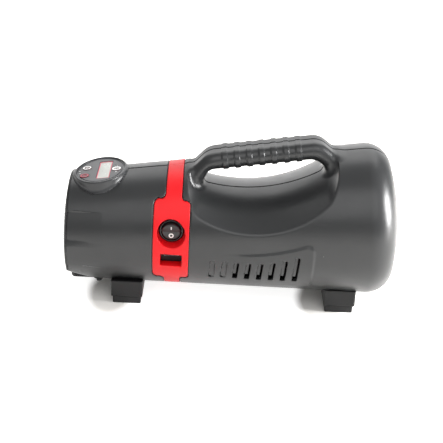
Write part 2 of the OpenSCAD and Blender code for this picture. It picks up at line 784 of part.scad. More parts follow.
module pump_cylinder() color("#aeb2b6") difference() {
    translate([cyl_x, 0, 60]) cylinder(r = 14, h = 22.5);
    translate([cyl_x, 0, 59]) cylinder(r = bore_r, h = 25);
}

module cylinder_head() color("#9a9ea2") {
    for (i = [0:3])
        translate([cyl_x, 0, 82.55 + 3 * i]) cylinder(r = 16.5, h = 1.4);
    translate([cyl_x, 0, 82.55]) cylinder(r = 14, h = 11);
    along_x(22, 0, outlet_z) cylinder(r = 1.9, h = 11);
}

// Hose from the head to the air outlet: straight, a quarter bend, straight
module hose_path(r) {
    bend = 14;
    along_x(panel_x + bend, 0, outlet_z) cylinder(r = r, h = 29.2 - panel_x - bend);
    translate([panel_x + bend, bend, outlet_z]) rotate([0, 0, 180])
        rotate_extrude(angle = 90) translate([bend, 0]) circle(r = r);
    side_rod(1, panel_x, outlet_z, r, bend, 45.9);
}
module air_hose() color("#2a2a2c") difference() {
    hose_path(3.5);
    hose_path(1.95);
    along_x(28, 0, outlet_z) cylinder(r = 1.95, h = 2);
    side_rod(1, panel_x, outlet_z, 1.95, 44, 47);
}

switch_side_shell();
outlet_side_shell();
switch_side_saddle();
outlet_side_saddle();
switch_side_handle();
outlet_side_handle();
switch_side_posts();
outlet_side_posts();
switch_side_trim();
outlet_side_trim();
front_bezel();
lamp_lens();
lamp_reflector();
lamp_board();
lamp_leds();
display_pod();
display_face();
lcd_module();
display_board();
mode_button();
unit_button();
power_button();
switch_side_baffle();
outlet_side_baffle();
switch_body();
switch_rocker();
usb_socket();
usb_board();
jump_socket();
socket_cap();
charge_jack();
air_outlet();
front_foot();
rear_foot();
front_pad();
rear_pad();
foot_screws();
shell_screws();
prop_leg();
prop_pin();
battery_cells();
cell_holders();
bus_bars();
main_board();
power_relay();
capacitors();
inflator_frame();
motor_can();
motor_bushes();
motor_armature();
cooling_fan();
motor_pinion();
crank_bearing();
crank_gear();
piston_rod();
pump_cylinder();
cylinder_head();
air_hose();
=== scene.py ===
import math

import bmesh
import bpy
import numpy as np
from mathutils import Matrix


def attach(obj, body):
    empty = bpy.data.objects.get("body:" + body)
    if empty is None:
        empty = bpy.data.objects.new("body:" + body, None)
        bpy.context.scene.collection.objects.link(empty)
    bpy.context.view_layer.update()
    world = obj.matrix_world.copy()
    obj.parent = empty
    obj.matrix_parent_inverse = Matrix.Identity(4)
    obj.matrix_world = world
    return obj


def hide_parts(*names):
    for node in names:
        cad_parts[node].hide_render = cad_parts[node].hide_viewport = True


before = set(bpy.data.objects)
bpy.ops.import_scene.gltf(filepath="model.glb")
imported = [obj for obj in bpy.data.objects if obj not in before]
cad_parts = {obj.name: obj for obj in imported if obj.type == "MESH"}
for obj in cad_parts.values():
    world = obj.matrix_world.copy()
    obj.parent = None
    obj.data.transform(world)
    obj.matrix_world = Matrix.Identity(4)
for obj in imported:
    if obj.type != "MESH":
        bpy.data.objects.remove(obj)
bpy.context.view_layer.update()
scene = bpy.context.scene

# ---------------------------------------------------------------- sizes, in millimetres as in the part
MM = 0.001
GRID_FACTOR = 1.0     # coarser moulding grids while trying things

# Case: a cone that widens to the rear over a level underside, with a rounded rear edge and a shallow dome
BODY_LEN = 299.0
MID_R = 58.4
TAPER = math.radians(4.04)
SLOPE = math.tan(TAPER)
CLEARANCE = 10.0
AXIS_Z = CLEARANCE + MID_R * math.cos(TAPER)
APEX_X = -MID_R / SLOPE * math.cos(TAPER)
RIM_X = -140.0
EDGE_R = 22.0
DOME_R = 205.0
WALL = 3.0
SEAM_HALF = 0.75
SEAM_DEPTH = 1.7
SIDE_Y = 30.0           # openings in a side reach inwards to here
POST_R = 4.6
POST_BORE = 3.0
POSTS = ((-125, 30), (-125, 88), (-32, 25), (-74, 96), (66, 26), (67.4, 86), (140.5, 53), (140.5, 103))

# Nose: finger recesses that fan out towards the rim, and a flat on each lower flank
GRIP_DEPTH = 1.6
GRIP_END = -108.0
GRIP_LEN = 32.0
UPPER_GRIP_TOP = 35.5   # degrees above the side
LOWER_GRIP_TOP = -26.0
FLAT_TURN = math.radians(58)
FLAT_REACH = 43.4
FLAT_START = -144.5
FLAT_END = -121.8
FLAT_RISE = 0.282

# Hand space: a saddle whose profile, an arc between two rounded ends, turns about a line low in the case
SADDLE_LINE = 2.5
SADDLE_MID = (233.8, 9.0)
SADDLE_R = 135.0
SADDLE_ENDS = (-37.2, 91.3)
# Both corners: the centre (radius, x), its rounding, the direction to it from the arc's centre, the side
SADDLE_CORNERS = (
    ((117.93, -22.2), 15, (-0.9656, -0.26), 1),
    ((137.14, 71.3), 20, (-0.8406, 0.5417), -1),
)
SADDLE_RIM = 1.1

# Handle: a rising front leg, a sloping grip with rings and a rear leg, and the opening inside them
OUTER = ((-45, 109.4), (-21.3, 135.7), (74.7, 151), (96, 134.9))
OUTER_BENDS = (20, 16)
INNER = ((-28, 102.5), (-19.3, 120.7), (77.5, 136.1), (88, 110))
INNER_BENDS = (8.5, 15)
HANDLE_HALF = 15.5
HANDLE_EDGE = 7.4
HANDLE_ROOT = 7.0
GRIP_TURN = math.atan(0.16)
GRIP_MID = (23.5, 135.0)
GRIP_HALF = 7.6
RINGS = 7
RING_PITCH = 10.63
RING_SHIFT = 2.2
RING_T = 4.7
RING_H = 0.7
RING_EDGE = 7.9

# Trim: a ring right round the case that widens into a panel on each side
TRIM_T = 1.6
TRIM_GAP = 0.35
RING_X = -48.35
RING_W = 14.3
PANEL_X = RING_X - 1.1
PANEL_W = 31.5
PANEL_LOW = 31.8
PANEL_HIGH = 103.7
PANEL_CORNERS = (4.6, 3.6)       # front and rear
PANEL_FILLETS = (4.2, 3.0)

# Cooling slots on their raised panel
VENTS = 8
BLIND_VENTS = 2
VENT_X = -14.0
VENT_PITCH = 10.33
VENT_W = 4.4
VENT_LEAN = 1.2
VENT_TOP = -13.7        # degrees above the side
VENT_LOW = -33.7
VENT_WALL = 2.4
MARK_DEPTH = 0.7
BOSS_H = 1.2
BOSS_R = 59.5
BOSS_X = 12.0
BOSS_REAR = 73.6

# Display pod
POD_X = -114.9
POD_Z = 111.6
POD_TILT = 2 * TAPER
POD_RX = 22.6
POD_RY = 28.0
LCD_U = 3.4
LCD_W = 11.2
LCD_L = 36.0
BUTTON_R = 4.1
BUTTONS = {"mode": (-12.9, 6.2), "unit": (-13.3, -10.6), "power": (14.0, -0.6)}

# Fittings on the two sides
SWITCH_Z = 77.7
SWITCH_Y = 44.2
RECESS_R = 12.3
ROCKER_LEAN = 0.13      # slope of each half of the rocker's face
ROCKER_H = 2.3
USB_Z = 52.8
USB_X = PANEL_X + 0.5
USB_W = 18.5
USB_H = 12.1
USB_PORT_DOWN = 2.2     # the port sits this far below the middle of its pocket, towards the leg
SOCKET_Z = 64.0
SOCKET_W = 25.6
SOCKET_H = 15.6
CONTACT_OFF = 5.6
CONTACT_R = 3.1
OUTLET_Z = 88.0
OUTLET_R = 7.3
JACK_Z = 42.0
JACK_R = 5.8

# Feet and prop leg
FEET_X = {"front": -88.0, "rear": 101.4}
FOOT_L = 28.0
FOOT_W = 80.0
PAD_H = 7.0
FOOT_TOP = 22.6
LEG_X = -116.0
LEG_Z = 10.3
LEG_TIP = -141.5
LEG_HALF = 8.6

# ---------------------------------------------------------------- camera
CAMERA_AT = (-0.0140, -0.8893, 0.5013)
CAMERA_TILT = math.radians(26.065)
CAMERA_TURN = math.radians(-0.485)
CAMERA_ROLL = math.radians(2.791)
CAMERA_LENS = 89.39


def place_camera():
    data = bpy.data.cameras.new("camera")
    data.sensor_width = 36.0
    data.lens = CAMERA_LENS
    data.clip_start = 0.01
    camera = bpy.data.objects.new("camera", data)
    scene.collection.objects.link(camera)
    back = np.array([math.sin(CAMERA_TURN) * math.cos(CAMERA_TILT),
                     -math.cos(CAMERA_TURN) * math.cos(CAMERA_TILT), math.sin(CAMERA_TILT)])
    right = np.array([math.cos(CAMERA_TURN), math.sin(CAMERA_TURN), 0.0])
    up = np.cross(back, right)
    c, s = math.cos(CAMERA_ROLL), math.sin(CAMERA_ROLL)
    basis = np.eye(4)
    basis[:3, :3] = np.column_stack([right * c + up * s, up * c - right * s, back])
    basis[:3, 3] = CAMERA_AT
    camera.matrix_world = Matrix(basis.tolist())
    scene.camera = camera


place_camera()

# ---------------------------------------------------------------- fields: signed distances, negative inside


def meet(a, b, r=0.0, c=0.0):
    """Inside both a and b, with the shared edge rounded to r. c is the cosine between the two normals."""
    if np.isscalar(r) and r == 0:
        return np.maximum(a, b)
    p, q = a + r, b + r
    rounded = np.sqrt(np.maximum(p * p + q * q - 2 * c * p * q, 0) / (1 - c * c)) - r
    return np.where((p > c * q) & (q > c * p), rounded, np.maximum(a, b))


def join(a, b, r=0.0):
    """Inside either, with a fillet of radius r where they meet."""
    return -meet(-a, -b, r)


def cut(a, b, r=0.0):
    """a with b taken out of it, the rim rounded to r."""
    return meet(a, -b, r)


def ramp(a, b, t):
    """A smooth rise from 0 at a to 1 at b."""
    t = np.clip((t - a) / (b - a), 0, 1)
    return t * t * (3 - 2 * t)


def rect(u, v, w, h, r):
    """A w by h rectangle about the origin with corners of radius r."""
    p, q = np.abs(u) - w / 2 + r, np.abs(v) - h / 2 + r
    return np.hypot(np.maximum(p, 0), np.maximum(q, 0)) + np.minimum(np.maximum(p, q), 0) - r


def oval(u, v, rx, ry):
    """An ellipse; near enough a true distance at its edge."""
    k = np.hypot(u / rx, v / ry)
    return k * (k - 1) / np.maximum(np.hypot(u / rx ** 2, v / ry ** 2), 1e-9)


def polygon(u, v, points):
    """The distance to a closed outline of straight edges."""
    best, inside = np.inf, False
    for (ax, ay), (bx, by) in zip(points, points[1:] + points[:1]):
        ex, ey = bx - ax, by - ay
        px, py = u - ax, v - ay
        t = np.clip((px * ex + py * ey) / (ex * ex + ey * ey), 0, 1)
        best = np.minimum(best, np.hypot(px - ex * t, py - ey * t))
        if by != ay:
            inside = inside ^ (((ay > v) != (by > v)) & (px < ex * (v - ay) / ey))
    return np.where(inside, -best, best)


def line(x, z, a, b):
    """The distance from the straight line a to b, positive on its left."""
    ex, ez = b[0] - a[0], b[1] - a[1]
    return ((z - a[1]) * ex - (x - a[0]) * ez) / math.hypot(ex, ez)


def between(a, b, c, d):
    """Cosine between the left-hand normals of lines ab and cd."""
    p = np.subtract(b, a) / np.linalg.norm(np.subtract(b, a))
    return float(p @ (np.subtract(d, c) / np.linalg.norm(np.subtract(d, c))))


def case_r(x):
    """Half the height of the case at x."""
    return (x - APEX_X) * math.tan(2 * TAPER) / 2


def axis_at(x):
    """Height of the middle of the case at x."""
    return CLEARANCE + case_r(x)


def along_cone(x, z):
    """Distance along the sloping axis, and down from it."""
    c, s = math.cos(TAPER), math.sin(TAPER)
    return x * c + (z - AXIS_Z) * s, x * s - (z - AXIS_Z) * c


def case_field(x, y, z):
    """The closed cone of the case: side, rounded rear edge and shallow rear dome."""
    s, u = along_cone(x, z)
    rho = np.hypot(u, y)
    c = math.cos(TAPER)
    dome_s = (BODY_LEN / 2 - DOME_R) / c
    # the rear edge's round is centred EDGE_R inside both the side and the dome
    a0 = MID_R - EDGE_R / c
    qa = 1 + SLOPE ** 2
    qb = 2 * (a0 * SLOPE - dome_s)
    qc = a0 * a0 + dome_s * dome_s - (DOME_R - EDGE_R) ** 2
    edge_s = (-qb + math.sqrt(qb * qb - 4 * qa * qc)) / (2 * qa)
    edge_r = a0 + SLOPE * edge_s
    turn = math.atan2(edge_s - dome_s, edge_r)
    side = (rho - MID_R - SLOPE * s) * c
    dome = np.hypot(rho, s - dome_s) - DOME_R
    dr, ds = rho - edge_r, s - edge_s
    on_edge = (c * ds + math.sin(TAPER) * dr >= 0) & (dr * math.sin(turn) - ds * math.cos(turn) >= 0)
    return np.where(on_edge, np.hypot(dr, ds) - EDGE_R, np.maximum(side, dome))


def scoop_field(x, y, z):
    """The hand space under the handle: an arc with rounded ends, turned about a line low in the case."""
    r = np.hypot(y, np.maximum(z - SADDLE_LINE, 0))
    mid_r, mid_x = SADDLE_MID
    front, rear = SADDLE_ENDS
    field = np.maximum(np.hypot(r - mid_r, x - mid_x) - SADDLE_R, np.maximum(front - x, x - rear))
    for (corner_r, corner_x), rounding, (way_r, way_x), side in SADDLE_CORNERS:
        pr, px = r - corner_r, x - corner_x
        corner = (pr <= 0) & (side * (way_r * px - way_x * pr) >= 0)
        field = np.where(corner, np.hypot(pr, px) - rounding, field)
    return field


def handle_side(x, z):
    """The handle seen from the side."""
    a, b, c, d = OUTER
    e, f, g, h = INNER
    outside = meet(line(x, z, a, b), line(x, z, b, c), OUTER_BENDS[0], between(a, b, b, c))
    outside = meet(outside, line(x, z, c, d), OUTER_BENDS[1], between(b, c, c, d))
    inside = meet(line(x, z, e, f), line(x, z, f, g), INNER_BENDS[0], between(e, f, f, g))
    inside = meet(inside, line(x, z, g, h), INNER_BENDS[1], between(f, g, g, h))
    foot = np.where(x < GRIP_MID[0], line(x, z, e, a), line(x, z, d, h))
    return np.maximum(np.maximum(outside, -inside), foot)


def handle_field(x, y, z):
    """The handle with its rings, which stand RING_H proud of the grip all round."""
    body = meet(handle_side(x, z), np.abs(y) - HANDLE_HALF, HANDLE_EDGE)
    c, s = math.cos(GRIP_TURN), math.sin(GRIP_TURN)
    along = (x - GRIP_MID[0]) * c + (z - GRIP_MID[1]) * s - RING_SHIFT
    down = (x - GRIP_MID[0]) * s - (z - GRIP_MID[1]) * c
    place = along / RING_PITCH
    nearest = np.clip(np.round(place), -(RINGS // 2), RINGS // 2)
    ring = rect(down, y, 2 * (GRIP_HALF + RING_H), 2 * (HANDLE_HALF + RING_H), RING_EDGE)
    ring = meet(ring, np.abs(place - nearest) * RING_PITCH - RING_T / 2, 0.7)
    return join(body, ring, 0.6)


def nose_grips(x, y, z):
    """Depth of the finger recesses on the nose, two a side, deepest at the rim. Angles are in degrees
    above the side; the far edges are crisp and turn a little with the distance to the rim."""
    s, u = along_cone(x, z)
    angle = np.degrees(np.arctan2(-u, np.maximum(y, 0.01)))
    near = np.clip((GRIP_END - s) / GRIP_LEN, 0, 1)
    upper = np.clip((angle - 0.9 * near) / (3.4 + 4.4 * near), 0, 1)
    upper = upper * np.clip((UPPER_GRIP_TOP + 3 * near - angle) / 1.2, 0, 1)
    lower = np.clip((angle + 90) / 30, 0, 1)
    lower = lower * np.clip((LOWER_GRIP_TOP + 3.6 * near - angle) / 1.4, 0, 1)
    return GRIP_DEPTH * near * np.maximum(upper, lower)


def flank_flat(x, y, z):
    """Depth below the flat on the lower flank of the nose, positive where the flat takes the case away."""
    s, u = along_cone(x, z)
    out = np.abs(y) * math.cos(FLAT_TURN) + u * math.sin(FLAT_TURN)
    reach = FLAT_REACH + FLAT_RISE * (s - FLAT_START)
    return np.minimum((out - reach) / math.hypot(1, FLAT_RISE), FLAT_END - s)


def vent_boss(x, y, z):
    """Height of the raised panel round the cooling slots; it fades out towards the trim."""
    _, u = along_cone(x, z)
    arc = np.arctan2(-u, np.maximum(y, 0.01)) * BOSS_R
    degree = math.radians(1) * BOSS_R
    top = arc - degree * (-4.7 + 0.00286 * np.maximum(x - BOSS_X, 0) ** 2)
    low = degree * (-48.5 + 0.105 * (x - BOSS_X - 0.2)) - arc
    edge = meet(meet(top, x - BOSS_REAR, 9), low, 6)
    return BOSS_H * ramp(1.0, -1.8, edge) * ramp(-8, 26, x)


def trim_side(x, z, g):
    """Outline of the red trim seen from the side, drawn in by g: a narrow ring that widens into a panel."""
    front = x < RING_X
    ring = np.abs(x - RING_X) - RING_W / 2 + g
    middle, height = (PANEL_LOW + PANEL_HIGH) / 2, PANEL_HIGH - PANEL_LOW
    panel = rect(x - PANEL_X, z - middle, PANEL_W - 2 * g, height - 2 * g, np.where(front, *PANEL_CORNERS))
    return join(ring, panel, np.where(front, *PANEL_FILLETS))


def vent_slots(x, z):
    """The cooling slots seen from the side: the marked recess, and the L shaped opening in it."""
    i = np.clip(np.round((x - VENT_X - 0.6) / VENT_PITCH), 0, VENTS - 1)
    vx = VENT_X + VENT_PITCH * i
    top = VENT_TOP + np.where(i < 3, 0.25, 0.44) * (i - 3) ** 2
    low = axis_at(vx) + case_r(vx) * math.sin(math.radians(VENT_LOW))
    high = axis_at(vx) + case_r(vx) * np.sin(np.radians(top))
    across = x - vx - VENT_LEAN * (z - low) / (high - low)
    wide = np.abs(across) - VENT_W / 2
    mark = meet(wide, np.abs(z - (low + high) / 2) - (high - low) / 2, 1.0)
    blind = i < BLIND_VENTS
    strip = np.where(blind, 9.0, 0.25 - across)
    block = np.maximum(z - low - np.where(blind, 1.5, 6.4), np.where(blind, across, -9.0))
    return mark, meet(np.maximum(mark, np.minimum(strip, block)), mark + 0.15)


def post_field(x, z, r):
    """The screw posts, as round bars of radius r across the case."""
    return np.min([np.hypot(x - px, z - pz) for px, pz in POSTS], axis=0) - r


def bored(solid, x, z, at_x, at_z, r, inner, edge=0.0):
    """The solid with a round hole of radius r through its side, out from y = inner."""
    return cut(solid, np.maximum(np.hypot(x - at_x, z - at_z) - r, inner), edge)


def with_leg_mount(solid, x, y, z, case):
    """Adds the block under the nose and the ear that the prop leg's pin runs through."""
    block = np.maximum(np.maximum(np.abs(x + 125.25) - 16.25, y - 14.4), np.maximum(z - 16.6, case + 1))
    ear = np.maximum(np.hypot(x - LEG_X, z - LEG_Z) - 3.6, y - 12.6)
    return join(np.minimum(solid, block), ear, 3.5)


def with_side_openings(solid, side, x, y, z):
    """Cuts the openings behind the trim: the switch and the USB pocket, or the outlets and the screws."""
    inner = SIDE_Y - y
    if side < 0:
        solid = bored(solid, x, z, PANEL_X, SWITCH_Z, RECESS_R + 1.9, inner)
        return cut(solid, np.maximum(rect(x - USB_X, z - USB_Z, USB_W + 3.9, USB_H + 3.9, 1), inner))
    solid = cut(solid, np.maximum(rect(x - PANEL_X, z - SOCKET_Z, SOCKET_W + 1, SOCKET_H + 1, 2), 20 - y))
    solid = bored(solid, x, z, PANEL_X, OUTLET_Z, OUTLET_R + 0.3, inner)
    solid = bored(solid, x, z, PANEL_X, JACK_Z, JACK_R + 0.3, inner)
    return cut(solid, np.maximum(post_field(x, z, POST_BORE), 8 - y), 0.5)


def with_vents(solid, x, y, z, case, skin):
    """Thins the wall behind the cooling slots and cuts their recesses and openings."""
    inner = SIDE_Y - y
    mark, slot = vent_slots(x, z)
    thinned = np.maximum(case + VENT_WALL, rect(x - 24.5, z - 50.5, 87, 37, 3))
    solid = np.maximum(solid, -np.maximum(thinned, inner))
    solid = cut(solid, np.maximum(np.maximum(mark, inner), -(skin + MARK_DEPTH)), 0.3)
    return cut(solid, np.maximum(slot, inner), 0.2)


def with_pod_seat(solid, x, y, z):
    """Opens the nose under the display pod, and cuts the shallow seat of its edge."""
    u, w = to_pod(x, z)
    solid = cut(solid, np.maximum(pod_oval(u, y, 2.4), -16 - w))
    return cut(solid, np.maximum(pod_oval(u, y, 1), -1.9 - w))


def shell_field(side):
    """One half of the case. y runs outwards from the joint line, whichever side the half is on."""

    def field(x, y, z):
        case, scoop = case_field(x, y, z), scoop_field(x, y, z)
        skin = case + nose_grips(x, y, z) - vent_boss(x, y, z)
        outer = join(cut(skin, scoop, SADDLE_RIM), handle_field(x, y, z), HANDLE_ROOT)
        flat = flank_flat(x, y, z)
        solid = cut(outer, np.maximum(np.maximum(case, flat) + WALL, WALL - scoop))
        solid = np.minimum(solid, np.maximum(post_field(x, z, POST_R), case + 1))
        solid = np.maximum(with_leg_mount(solid, x, y, z, case), flat)
        solid = cut(solid, np.maximum(trim_side(x, z, -TRIM_GAP), -(case + TRIM_T + 0.2)), 0.3)
        solid = with_side_openings(solid, side, x, y, z)
        solid = with_vents(solid, x, y, z, case, skin)
        leg_slot = np.maximum(np.maximum(x + 112.4, y - LEG_HALF - 0.6), z - 13.4)
        solid = with_pod_seat(cut(solid, leg_slot), x, y, z)
        solid = cut(solid, np.maximum(y - SEAM_HALF, -SEAM_DEPTH - outer), 0.3)
        return np.maximum(meet(solid, RIM_X - x, 0.4), 0.02 - y)

    return field


def to_pod(x, z):
    """Coordinates along and square to the display face."""
    c, s = math.cos(POD_TILT), math.sin(POD_TILT)
    return (x - POD_X) * c + (z - POD_Z) * s, (z - POD_Z) * c - (x - POD_X) * s


def pod_oval(u, v, inset):
    """The pod's outline, drawn in by the inset."""
    return oval(u, v, POD_RX - inset, POD_RY - inset)


# ---------------------------------------------------------------- from fields to meshes


def slope_of(field, p, h=0.02):
    """Outward unit normals of the field at the points p."""
    total = np.zeros_like(p)
    for k in ((1, -1, -1), (-1, -1, 1), (-1, 1, -1), (1, 1, 1)):
        q = p + np.multiply(k, h)
        total += np.multiply.outer(np.asarray(field(q[:, 0], q[:, 1], q[:, 2])), k)
    return total / np.maximum(np.linalg.norm(total, axis=1, keepdims=True), 1e-12)


def contour(field, xs, ys, zs):
    """Points and quads of the field's zero surface, one point in each grid cell it crosses, set where
    the tangent planes through that cell meet, so that edges stay sharp."""
    axes = (xs, ys, zs)
    value = np.empty((len(xs), len(ys), len(zs)))
    for i in range(0, len(xs), 24):
        value[i:i + 24] = field(xs[i:i + 24, None, None], ys[None, :, None], zs[None, None, :])
    inside = value < 0
    shape = [len(a) - 1 for a in axes]
    hits, normals, cells = [], [], []
    for k in range(3):
        b, c = (k + 1) % 3, (k + 2) % 3
        low = [slice(None)] * 3
        high = [slice(None)] * 3
        low[k], high[k] = slice(None, -1), slice(1, None)
        at = np.argwhere(inside[tuple(low)] != inside[tuple(high)])
        at = at[(at[:, b] > 0) & (at[:, b] < shape[b]) & (at[:, c] > 0) & (at[:, c] < shape[c])]
        end = at.copy()
        end[:, k] += 1
        fa, fb = value[tuple(at.T)], value[tuple(end.T)]
        p = np.stack([axes[j][at[:, j]] for j in range(3)], 1)
        ta, tb = p[:, k].copy(), axes[k][end[:, k]]
        for _ in range(3):
            p[:, k] = ta + (tb - ta) * np.clip(fa / (fa - fb), 0.02, 0.98)
            f = np.asarray(field(p[:, 0], p[:, 1], p[:, 2]))
            same = (f < 0) == (fa < 0)
            ta, fa = np.where(same, p[:, k], ta), np.where(same, f, fa)
            tb, fb = np.where(same, tb, p[:, k]), np.where(same, fb, f)
        p[:, k] = ta + (tb - ta) * fa / (fa - fb)
        hits.append(p)
        normals.append(slope_of(field, p))
        quad = []
        for db, dc in ((1, 1), (0, 1), (0, 0), (1, 0)):
            cell = at.copy()
            cell[:, b] -= db
            cell[:, c] -= dc
            quad.append(np.ravel_multi_index(cell.T, shape))
        quad = np.stack(quad, 1)
        leaving = inside[tuple(at.T)]
        cells.append(np.where(leaving[:, None], quad, quad[:, ::-1]))
    hits, normals, cells = np.concatenate(hits), np.concatenate(normals), np.concatenate(cells)
    used, quads = np.unique(cells, return_inverse=True)
    quads = quads.reshape(cells.shape)
    flat = quads.ravel()
    p, n = np.repeat(hits, 4, 0), np.repeat(normals, 4, 0)

    def gather(w):
        return np.bincount(flat, w, len(used))

    middle = np.stack([gather(p[:, j]) for j in range(3)], 1) / gather(np.ones(len(flat)))[:, None]
    reach = np.einsum("ij,ij->i", n, p - middle[flat])
    a = np.empty((len(used), 3, 3))
    for i in range(3):
        for j in range(i, 3):
            a[:, i, j] = a[:, j, i] = gather(n[:, i] * n[:, j])
    rhs = np.stack([gather(n[:, j] * reach) for j in range(3)], 1)
    size, way = np.linalg.eigh(a)
    size = np.where(size > 0.1 * size[:, 2:], 1 / np.maximum(size, 1e-9), 0)
    points = middle + np.einsum("nij,nj->ni", way, size * np.einsum("nji,nj->ni", way, rhs))
    index = np.unravel_index(used, shape)
    for j in range(3):
        points[:, j] = np.clip(points[:, j], axes[j][index[j]], axes[j][index[j] + 1])
    return points, quads


def flesh(name, points, faces):
    """A bare mesh object from its points and faces."""
    mesh = bpy.data.meshes.new(name)
    faces = faces.tolist() if isinstance(faces, np.ndarray) else faces
    mesh.from_pydata(np.asarray(points).tolist(), [], faces)
    obj = bpy.data.objects.new(name, mesh)
    scene.collection.objects.link(obj)
    return obj


def baked(obj):
    """The object's mesh with its modifiers applied, and none of them left."""
    bpy.context.view_layer.update()
    mesh = bpy.data.meshes.new_from_object(obj.evaluated_get(bpy.context.evaluated_depsgraph_get()))
    old = obj.data
    obj.modifiers.clear()
    obj.data = mesh
    bpy.data.meshes.remove(old)
    mesh.name = obj.name
    return obj


def thin_out(obj, hidden, kept=0.05):
    """Thins the faces round the hidden points to the kept share of their number."""
    group = obj.vertex_groups.new(name="hidden")
    group.add(np.flatnonzero(hidden).tolist(), 1.0, "REPLACE")
    modifier = obj.modifiers.new("thin", "DECIMATE")
    modifier.vertex_group = "hidden"
    modifier.ratio = 1 - hidden.mean() * (1 - kept)
    baked(obj)
    obj.vertex_groups.clear()


def solid(name, field, xs, ys, zs, side=1, place=None, hidden=None, crease=26):
    """An object from a field: contoured, its unseen faces thinned, shaded by the field's own normals."""
    flip = np.array([1, side, 1])
    points, quads = contour(field, xs, ys, zs)
    obj = flesh(name, points * flip, quads[:, ::side])
    if hidden is not None:
        thin_out(obj, hidden(points[:, 0], points[:, 1], points[:, 2]))
    mesh = obj.data
    co = read(mesh.vertices, "co", 3) * flip
    corner = read(mesh.loops, "vertex_index", 1, np.int32)
    centre = read(mesh.polygons, "center", 3) * flip
    total = read(mesh.polygons, "loop_total", 1, np.int32)
    at_point = slope_of(field, co)[corner]
    at_corner = slope_of(field, co[corner] + 0.22 * (np.repeat(centre, total, axis=0) - co[corner]))
    smooth = np.einsum("ij,ij->i", at_point, at_corner) > math.cos(math.radians(crease))
    normal = np.where(smooth[:, None], at_point, at_corner)
    turn = np.eye(4) if place is None else np.array(place)
    co = (co @ turn[:3, :3].T + turn[:3, 3]) * flip * MM
    mesh.vertices.foreach_set("co", co.astype(np.float32).ravel())
    mesh.update()
    mesh.shade_smooth()
    mesh.normals_split_custom_set((normal @ turn[:3, :3].T * flip).tolist())
    return obj


def read(items, what, width, kind=np.float32):
    """A mesh attribute as an array."""
    values = np.empty(len(items) * width, kind)
    items.foreach_get(what, values)
    return values.reshape(-1, width).astype(float) if width > 1 else values


def span(a, b, step):
    """Grid lines from a to b."""
    return np.linspace(a, b, max(2, int(round((b - a) / step)) + 1))


def grid(step, *ends):
    """Grid lines along each axis in turn, from pairs of ends."""
    return [span(a, b, step * GRID_FACTOR) for a, b in zip(ends[::2], ends[1::2])]


def finish_piece(obj, material, body, slot, *nodes):
    """Gives a piece its finish and its body, and hides the CAD nodes it stands for."""
    obj.data.materials.clear()
    obj.data.materials.append(material)
    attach(obj, body)
    if nodes:
        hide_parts(*nodes)
    return obj


# ---------------------------------------------------------------- finishes


def linear(code):
    """A linear colour from an sRGB hex value."""
    parts = [int(code[i:i + 2], 16) / 255 for i in (1, 3, 5)]
    return [v / 12.92 if v <= 0.04045 else ((v + 0.055) / 1.055) ** 2.4 for v in parts] + [1.0]


def add(tree, kind, inputs=None, **settings):
    """One node with its settings. An input is a value, the socket that feeds it, a node, which stands for its
    first output in use, or a set of such sources."""
    node = tree.nodes.new(kind)
    for key, value in settings.items():
        setattr(node, key, value)
    for key, value in (inputs or {}).items():
        if isinstance(value, (bpy.types.Node, bpy.types.NodeSocket)):
            value = {value}
        if isinstance(value, set):
            for source in value:
                if isinstance(source, bpy.types.Node):
                    source = next(socket for socket in source.outputs if socket.enabled)
                tree.links.new(source, node.inputs[key])
        else:
            node.inputs[key].default_value = value
    return node


def new_finish(name):
    """A material with an empty tree, and the piece's own coordinates in it."""
    material = bpy.data.materials.new(name)
    material.use_nodes = True
    tree = material.node_tree
    tree.nodes.clear()
    return material, tree, add(tree, "ShaderNodeTexCoord").outputs["Object"]


def per_metre(mm):
    """Noise scale that gives features of about this size."""
    return 1000 / mm


DRIFT = 18.0            # mm over which a moulding's two shades drift
SPECK_PITCH = 9.0       # mm between the places where a handling speck may be
SPECK_R = 0.05          # radius of a speck, as a share of that pitch
SPECK_STRENGTH = 0.45


def moulded(name, colour, second, roughness, grain, depth, specks=0.0, ior=1.5):
    """A moulded surface: two close shades that drift slowly, a grain of `grain` mm pressed by the mould that
    lifts the skin by `depth` mm, a roughness that follows the drift, and a few pale handling specks."""
    material, tree, where = new_finish(name)
    drift = add(tree, "ShaderNodeTexNoise", {"Vector": where, "Scale": per_metre(DRIFT), "Detail": 3.0})
    fine = add(tree, "ShaderNodeTexNoise",
               {"Vector": where, "Scale": per_metre(grain), "Detail": 2.0, "Roughness": 0.6})
    shade = add(tree, "ShaderNodeMix", {"Factor": drift, "A": linear(colour), "B": linear(second)},
                data_type="RGBA")
    rough = add(tree, "ShaderNodeMapRange", {"Value": drift, "From Min": 0.3, "From Max": 0.7,
                                             "To Min": roughness - 0.04, "To Max": roughness + 0.04})
    if specks:
        dots = add(tree, "ShaderNodeTexVoronoi",
                   {"Vector": where, "Scale": per_metre(SPECK_PITCH), "Randomness": 1.0})
        chance = add(tree, "ShaderNodeSeparateColor", {"Color": dots.outputs["Color"]})
        near = add(tree, "ShaderNodeMath", {0: dots, 1: SPECK_R}, operation="LESS_THAN")
        rare = add(tree, "ShaderNodeMath", {0: chance, 1: 1 - specks}, operation="GREATER_THAN")
        speck = add(tree, "ShaderNodeMath", {0: near, 1: rare}, operation="MULTIPLY")
        pale = add(tree, "ShaderNodeMath", {0: speck, 1: SPECK_STRENGTH}, operation="MULTIPLY")
        shade = add(tree, "ShaderNodeMix",
                    {"Factor": pale, "A": shade, "B": linear("#b9b9b6")}, data_type="RGBA")
    bump = add(tree, "ShaderNodeBump", {"Height": fine, "Strength": 1.0, "Distance": depth * MM})
    shader = add(tree, "ShaderNodeBsdfPrincipled", {"Base Color": shade, "Roughness": rough,
                                                    "Normal": bump, "IOR": ior})
    add(tree, "ShaderNodeOutputMaterial", {"Surface": shader})
    return material


